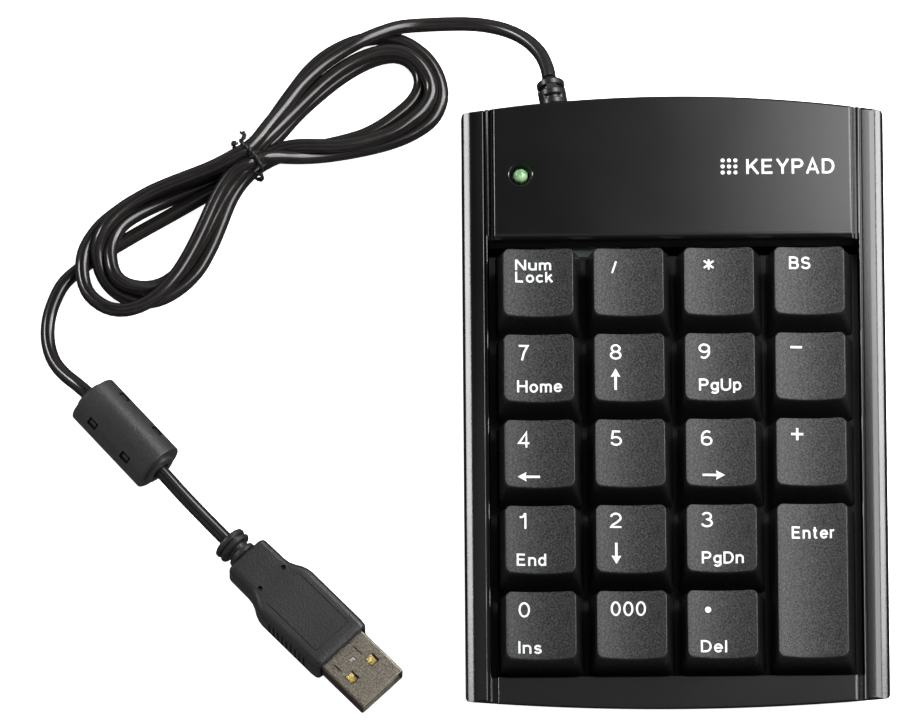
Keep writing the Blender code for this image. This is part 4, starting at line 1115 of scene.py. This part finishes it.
def choke_body_mesh():
    """A hollow round body with rounded shoulders and short collars."""
    half, radius = FERRITE_LENGTH / 2, FERRITE_RADIUS
    collar, collar_length, fillet = 3.7 * MM, 0.9 * MM, 0.3 * MM
    shoulder = half - collar_length
    profile = [(collar - 0.3 * MM, -half), (collar, -half + 0.3 * MM), (collar, -shoulder)]
    for degrees in (0, 22, 45, 68, 90):
        angle = math.radians(degrees)
        profile.append((radius - fillet * (1 - math.sin(angle)), fillet * (1 - math.cos(angle)) - shoulder))
    profile += [(reach, -z) for reach, z in reversed(profile)]
    body = turned_mesh(profile, 96)
    cord_hole, core_space, end_wall = 2.0 * MM, 4.7 * MM, 1.8 * MM
    for bore, end in ((cord_hole, half + 1 * MM), (core_space, half - end_wall)):
        body = boolean(body, turned_mesh([(bore, -end), (bore, end)]))
    return body


def make_choke():
    """Two case halves with latch windows in the upper one and a seam between them, and four latch hooks."""
    matrix = Matrix.Translation(FERRITE_CENTRE) @ turned_to(FERRITE_AXIS)
    spots = []
    for across, along in CHOKE_WINDOWS:
        turn = Matrix.Rotation(-math.asin(across / FERRITE_RADIUS), 4, "Z")
        spots.append(Matrix.Translation((0, 0, along)) @ turn @ Matrix.Translation((0, FERRITE_RADIUS, 0)))
    body = choke_body_mesh()
    pieces = []
    for side, name in ((1, "upper"), (-1, "lower")):
        shell = boolean(body.copy(), box_about((0, -side * 4.46, 0), (16, 9.08, 30)))
        if name == "upper":
            for spot in spots:
                shell = boolean(shell, moved(box_about((0, 0, 0), (1.9, 2.6, 2.5)), spot))
        pieces.append(piece_from(f"choke_case_{name}", shell, CHOKE, "case",
                                 [f"ferrite_case_{name}"], matrix, 28, True))
    for number, spot in enumerate(spots, 1):
        hook = moved(box_about((0.05, -0.75, 0), (0.8, 1.0, 1.6)), spot)
        pieces.append(piece_from(f"choke_latch_{number}", hook, CHOKE, "case", (), matrix))
    return pieces


choke = make_choke()

PLUG_TIP = 46.3
SHELL_WINDOW_X = 2.9


def plug_section(z, half_x, half_y, radius):
    """A round-cornered ring across the plug, from sizes in millimetres."""
    points = rounded_rectangle(half_x * MM, half_y * MM, radius * MM)
    return [(point.x, point.y, z * MM) for point in points]


def panel_section(z, half_x):
    """The outline of a shallow slot in the upper face of the grip, from sizes in millimetres."""
    return in_metres([(half_x, 3.85, z), (half_x, 5, z), (-half_x, 5, z), (-half_x, 3.85, z)])


def plug_grip_mesh():
    """A neck that widens to a flat grip, with a panel line, two dimples, side notches and a socket."""
    stations = [(4.6, 4.6, 3.2, 1.2), (4.9, 5.0, 3.5, 1.4), (5.4, 5.2, 3.6, 1.5), (11.0, 5.3, 3.7, 1.6),
                (12.4, 5.5, 3.75, 1.6), (13.6, 6.0, 3.8, 1.6), (14.8, 6.7, 3.9, 1.6), (16.0, 7.15, 3.95, 1.6),
                (17.2, 7.35, 4.0, 1.6), (32.2, 7.35, 4.0, 1.6), (33.4, 7.2, 3.9, 1.5), (33.9, 6.9, 3.6, 1.3),
                (34.0, 6.7, 3.4, 1.2)]
    grip = loft_mesh([plug_section(*station) for station in stations])
    outer = [(14.6, 3.4), (15.6, 4.9), (30.6, 4.9), (31.2, 4.5)]
    inner = [(14.95, 3.2), (15.8, 4.6), (30.4, 4.6), (30.9, 4.25)]
    slots = [loft_mesh([panel_section(z, half_x) for z, half_x in edge]) for edge in (outer, inner)]
    grip = boolean(grip, boolean(*slots))
    for x in (-3.4, 3.4):
        dimple = turned_mesh(in_metres([(0.55, 3.0), (0.55, 5.0)]), 24)
        place = Matrix.Translation((x * MM, 0, 12.6 * MM)) @ Matrix.Rotation(math.radians(-90), 4, "X")
        grip = boolean(grip, moved(dimple, place))
    for x in (-7.35, 7.35):
        for index in range(9):
            grip = boolean(grip, box_about((x, 0, 19.5 + 1.3 * index), (0.7, 5.2, 0.6)))
    return boolean(grip, box_about((0, 0, 32), (12.6, 5.1, 6)))


def plug_boot_mesh():
    """Soft rings between the cord and the grip."""
    return turned_mesh(in_metres([
        (1.8, -0.9), (3.3, -0.85), (3.7, -0.6), (3.8, -0.3), (3.8, 0.1), (3.6, 0.4), (3.2, 0.5), (3.2, 0.75),
        (3.6, 0.85), (3.8, 1.1), (3.8, 1.5), (3.6, 1.8), (3.2, 1.9), (2.5, 2.0), (2.5, 3.0), (3.1, 3.1),
        (3.2, 3.4), (3.2, 4.1), (3.0, 4.3), (2.7, 4.4), (2.7, 4.9)]))


def plug_shell_mesh():
    """Folded sheet with eased front edges, two windows, a slit behind each and the tab's notch."""
    start, tip = 29.3, PLUG_TIP
    ends = ((start, 0), (tip - 0.35, 0), (tip - 0.1, 0.08), (tip, 0.2))
    outer = loft_mesh([plug_section(z, 6.0 - inset, 2.25 - inset, 0.55) for z, inset in ends])
    inner = loft_mesh([plug_section(z, 5.65, 1.9, 0.3) for z in (start - 1, tip + 1)])
    shell = boolean(outer, inner)
    for x in (-SHELL_WINDOW_X, SHELL_WINDOW_X):
        shell = boolean(shell, box_about((x, 0, tip - 6.2), (2.2, 8, 2.2)))
        shell = boolean(shell, box_about((x - 0.775, 2.75, tip - 9.75), (0.25, 2.5, 2.3)))
    return boolean(shell, box_about((0, 2.75, tip - 9.15), (1.2, 2.5, 0.9)))


def plug_spring_mesh(x):
    """A leaf that dips inwards behind one of the shell's windows."""
    left, right, thick = x - 0.8, x + 0.8, 0.25
    rings = []
    for back, y in ((9.0, 1.62), (7.0, 1.55), (6.0, 1.2), (5.4, 1.3)):
        z = PLUG_TIP - back
        rings.append(in_metres([(left, y, z), (right, y, z), (right, y + thick, z), (left, y + thick, z)]))
    return loft_mesh(rings)


def make_plug():
    """The plug's grip and boot, and its shell with the tab and the springs."""
    matrix = Matrix.Translation(PLUG_START) @ turned_to(PLUG_AXIS)

    def plug_piece(name, mesh, material, replaced=(), weighted=False):
        return piece_from(name, mesh, material, "case", replaced, matrix, 30, weighted)

    tab = box_about((0, 1.925, PLUG_TIP - 9.15), (1.1, 0.35, 0.7))
    pieces = [
        plug_piece("plug_grip", plug_grip_mesh(), GRIP, ["plug_overmold"], True),
        plug_piece("plug_boot", plug_boot_mesh(), GRIP),
        plug_piece("plug_shell_tab", tab, BRIGHT_STEEL),
        plug_piece("plug_shell_sheet", plug_shell_mesh(), SHELL_STEEL, ["plug_shell"], True),
    ]
    for side in (-1, 1):
        spring = plug_spring_mesh(side * SHELL_WINDOW_X)
        pieces.append(plug_piece(f"plug_spring_{side + 2}", spring, GOLD))
    return pieces


plug = make_plug()


# ---------------------------------------------------------------- CAD nodes that stay as they are

def dress(node, material):
    """Give a node of the frame a finished material."""
    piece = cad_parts[node]
    piece.data.materials.clear()
    piece.data.materials.append(material)


NODE_MATERIALS = {
    "key_deck": INNER, "dome_sheet": DOMES,
    "membrane_upper": FILM, "membrane_spacer": FILM, "membrane_lower": FILM,
    "back_plate": STEEL, "controller_board": BOARD, "controller_chip": INNER, "membrane_clamp_bar": STEEL,
    "enter_stabilizer_wire": STEEL, "ferrite_core": CORE, "plug_tongue": TONGUE,
}
for number in range(1, 6):
    NODE_MATERIALS[f"case_screw_{number}"] = STEEL
for number in range(1, 5):
    NODE_MATERIALS[f"plug_contact_{number}"] = GOLD
for end in ("front", "rear"):
    for side in ("left", "right"):
        NODE_MATERIALS[f"rubber_foot_{end}_{side}"] = RUBBER
for node, material in NODE_MATERIALS.items():
    dress(node, material)


# ---------------------------------------------------------------- studio

def make_floor():
    """A plain white table top, just under the object."""
    material, shader = new_material("floor_white", (0.9, 0.9, 0.9), 0.9, specular=0.0)
    shader.inputs["Emission Color"].default_value = (1, 1, 1, 1)
    shader.inputs["Emission Strength"].default_value = 0.95
    half = 4.0
    mesh = polygon_mesh([(-half, -half), (half, -half), (half, half), (-half, half)])
    mesh.materials.append(material)
    floor = linked("floor", mesh)
    floor.location.z = -0.2 * MM
    floor.visible_glossy = False


# The overhead softbox brightens in steps towards the right: where each step ends, and its radiance.
SOFTBOX_LEFT = -0.010
SOFTBOX_STEPS = [(0.012, 0.15), (0.022, 0.6), (0.032, 2.2), (0.040, 4.4), (0.080, 6.0), (0.300, 11.0)]


def make_softbox(name, place, aim, width, height, radiance):
    """An even panel of light of a given radiance."""
    light = bpy.data.lights.new(name, "AREA")
    light.shape = "RECTANGLE"
    light.size, light.size_y = width, height
    light.energy = radiance * math.pi * width * height
    lamp = linked(name, light)
    lamp.location = place
    lamp.rotation_euler = (Vector(aim) - Vector(place)).to_track_quat("-Z", "Y").to_euler()


def make_lights():
    """The stepped softbox and a card overhead, a softbox to the front right, and a strip at each side."""
    left = SOFTBOX_LEFT
    for number, (right, glow) in enumerate(SOFTBOX_STEPS, 1):
        x = (left + right) / 2
        make_softbox(f"main_softbox_{number}", (x, 0.215, 0.30), (x, 0.215, 0), right - left, 0.22, glow)
        left = right
    make_softbox("front_softbox", (0.190, 0.02, 0.30), (0.190, 0.02, 0), 0.24, 0.16, 8.0)
    make_softbox("front_card", (-0.02, 0.01, 0.302), (-0.02, 0.01, 0), 0.40, 0.16, 0.35)
    for name, x in (("left_strip", -0.68), ("right_strip", 0.68)):
        make_softbox(name, (x, 0.28, 0.42), (0, 0.28, 0), 0.22, 0.18, 19.0)


def make_world():
    """A studio that is bright round the horizon and darker overhead."""
    world = bpy.data.worlds.new("studio")
    world.use_nodes = True
    nodes, links = world.node_tree.nodes, world.node_tree.links
    place = nodes.new("ShaderNodeTexCoord")
    split = nodes.new("ShaderNodeSeparateXYZ")
    span = nodes.new("ShaderNodeMapRange")
    span.inputs["From Min"].default_value = -1.0
    ramp = nodes.new("ShaderNodeValToRGB")
    bands = [(0.0, 0.05), (0.48, 0.06), (0.54, 0.40), (0.75, 0.34), (0.92, 0.03)]
    while len(ramp.color_ramp.elements) < len(bands):
        ramp.color_ramp.elements.new(0.5)
    for element, (position, value) in zip(ramp.color_ramp.elements, bands):
        element.position = position
        element.color = (value, value, value * 1.02, 1)
    links.new(place.outputs["Generated"], split.inputs[0])
    links.new(split.outputs["Z"], span.inputs["Value"])
    links.new(span.outputs["Result"], ramp.inputs["Fac"])
    links.new(ramp.outputs["Color"], nodes["Background"].inputs["Color"])
    nodes["Background"].inputs["Strength"].default_value = 1.0
    bpy.context.scene.world = world


make_floor()
make_world()
make_lights()
bpy.context.scene.view_settings.view_transform = "Standard"

bpy.context.view_layer.update()
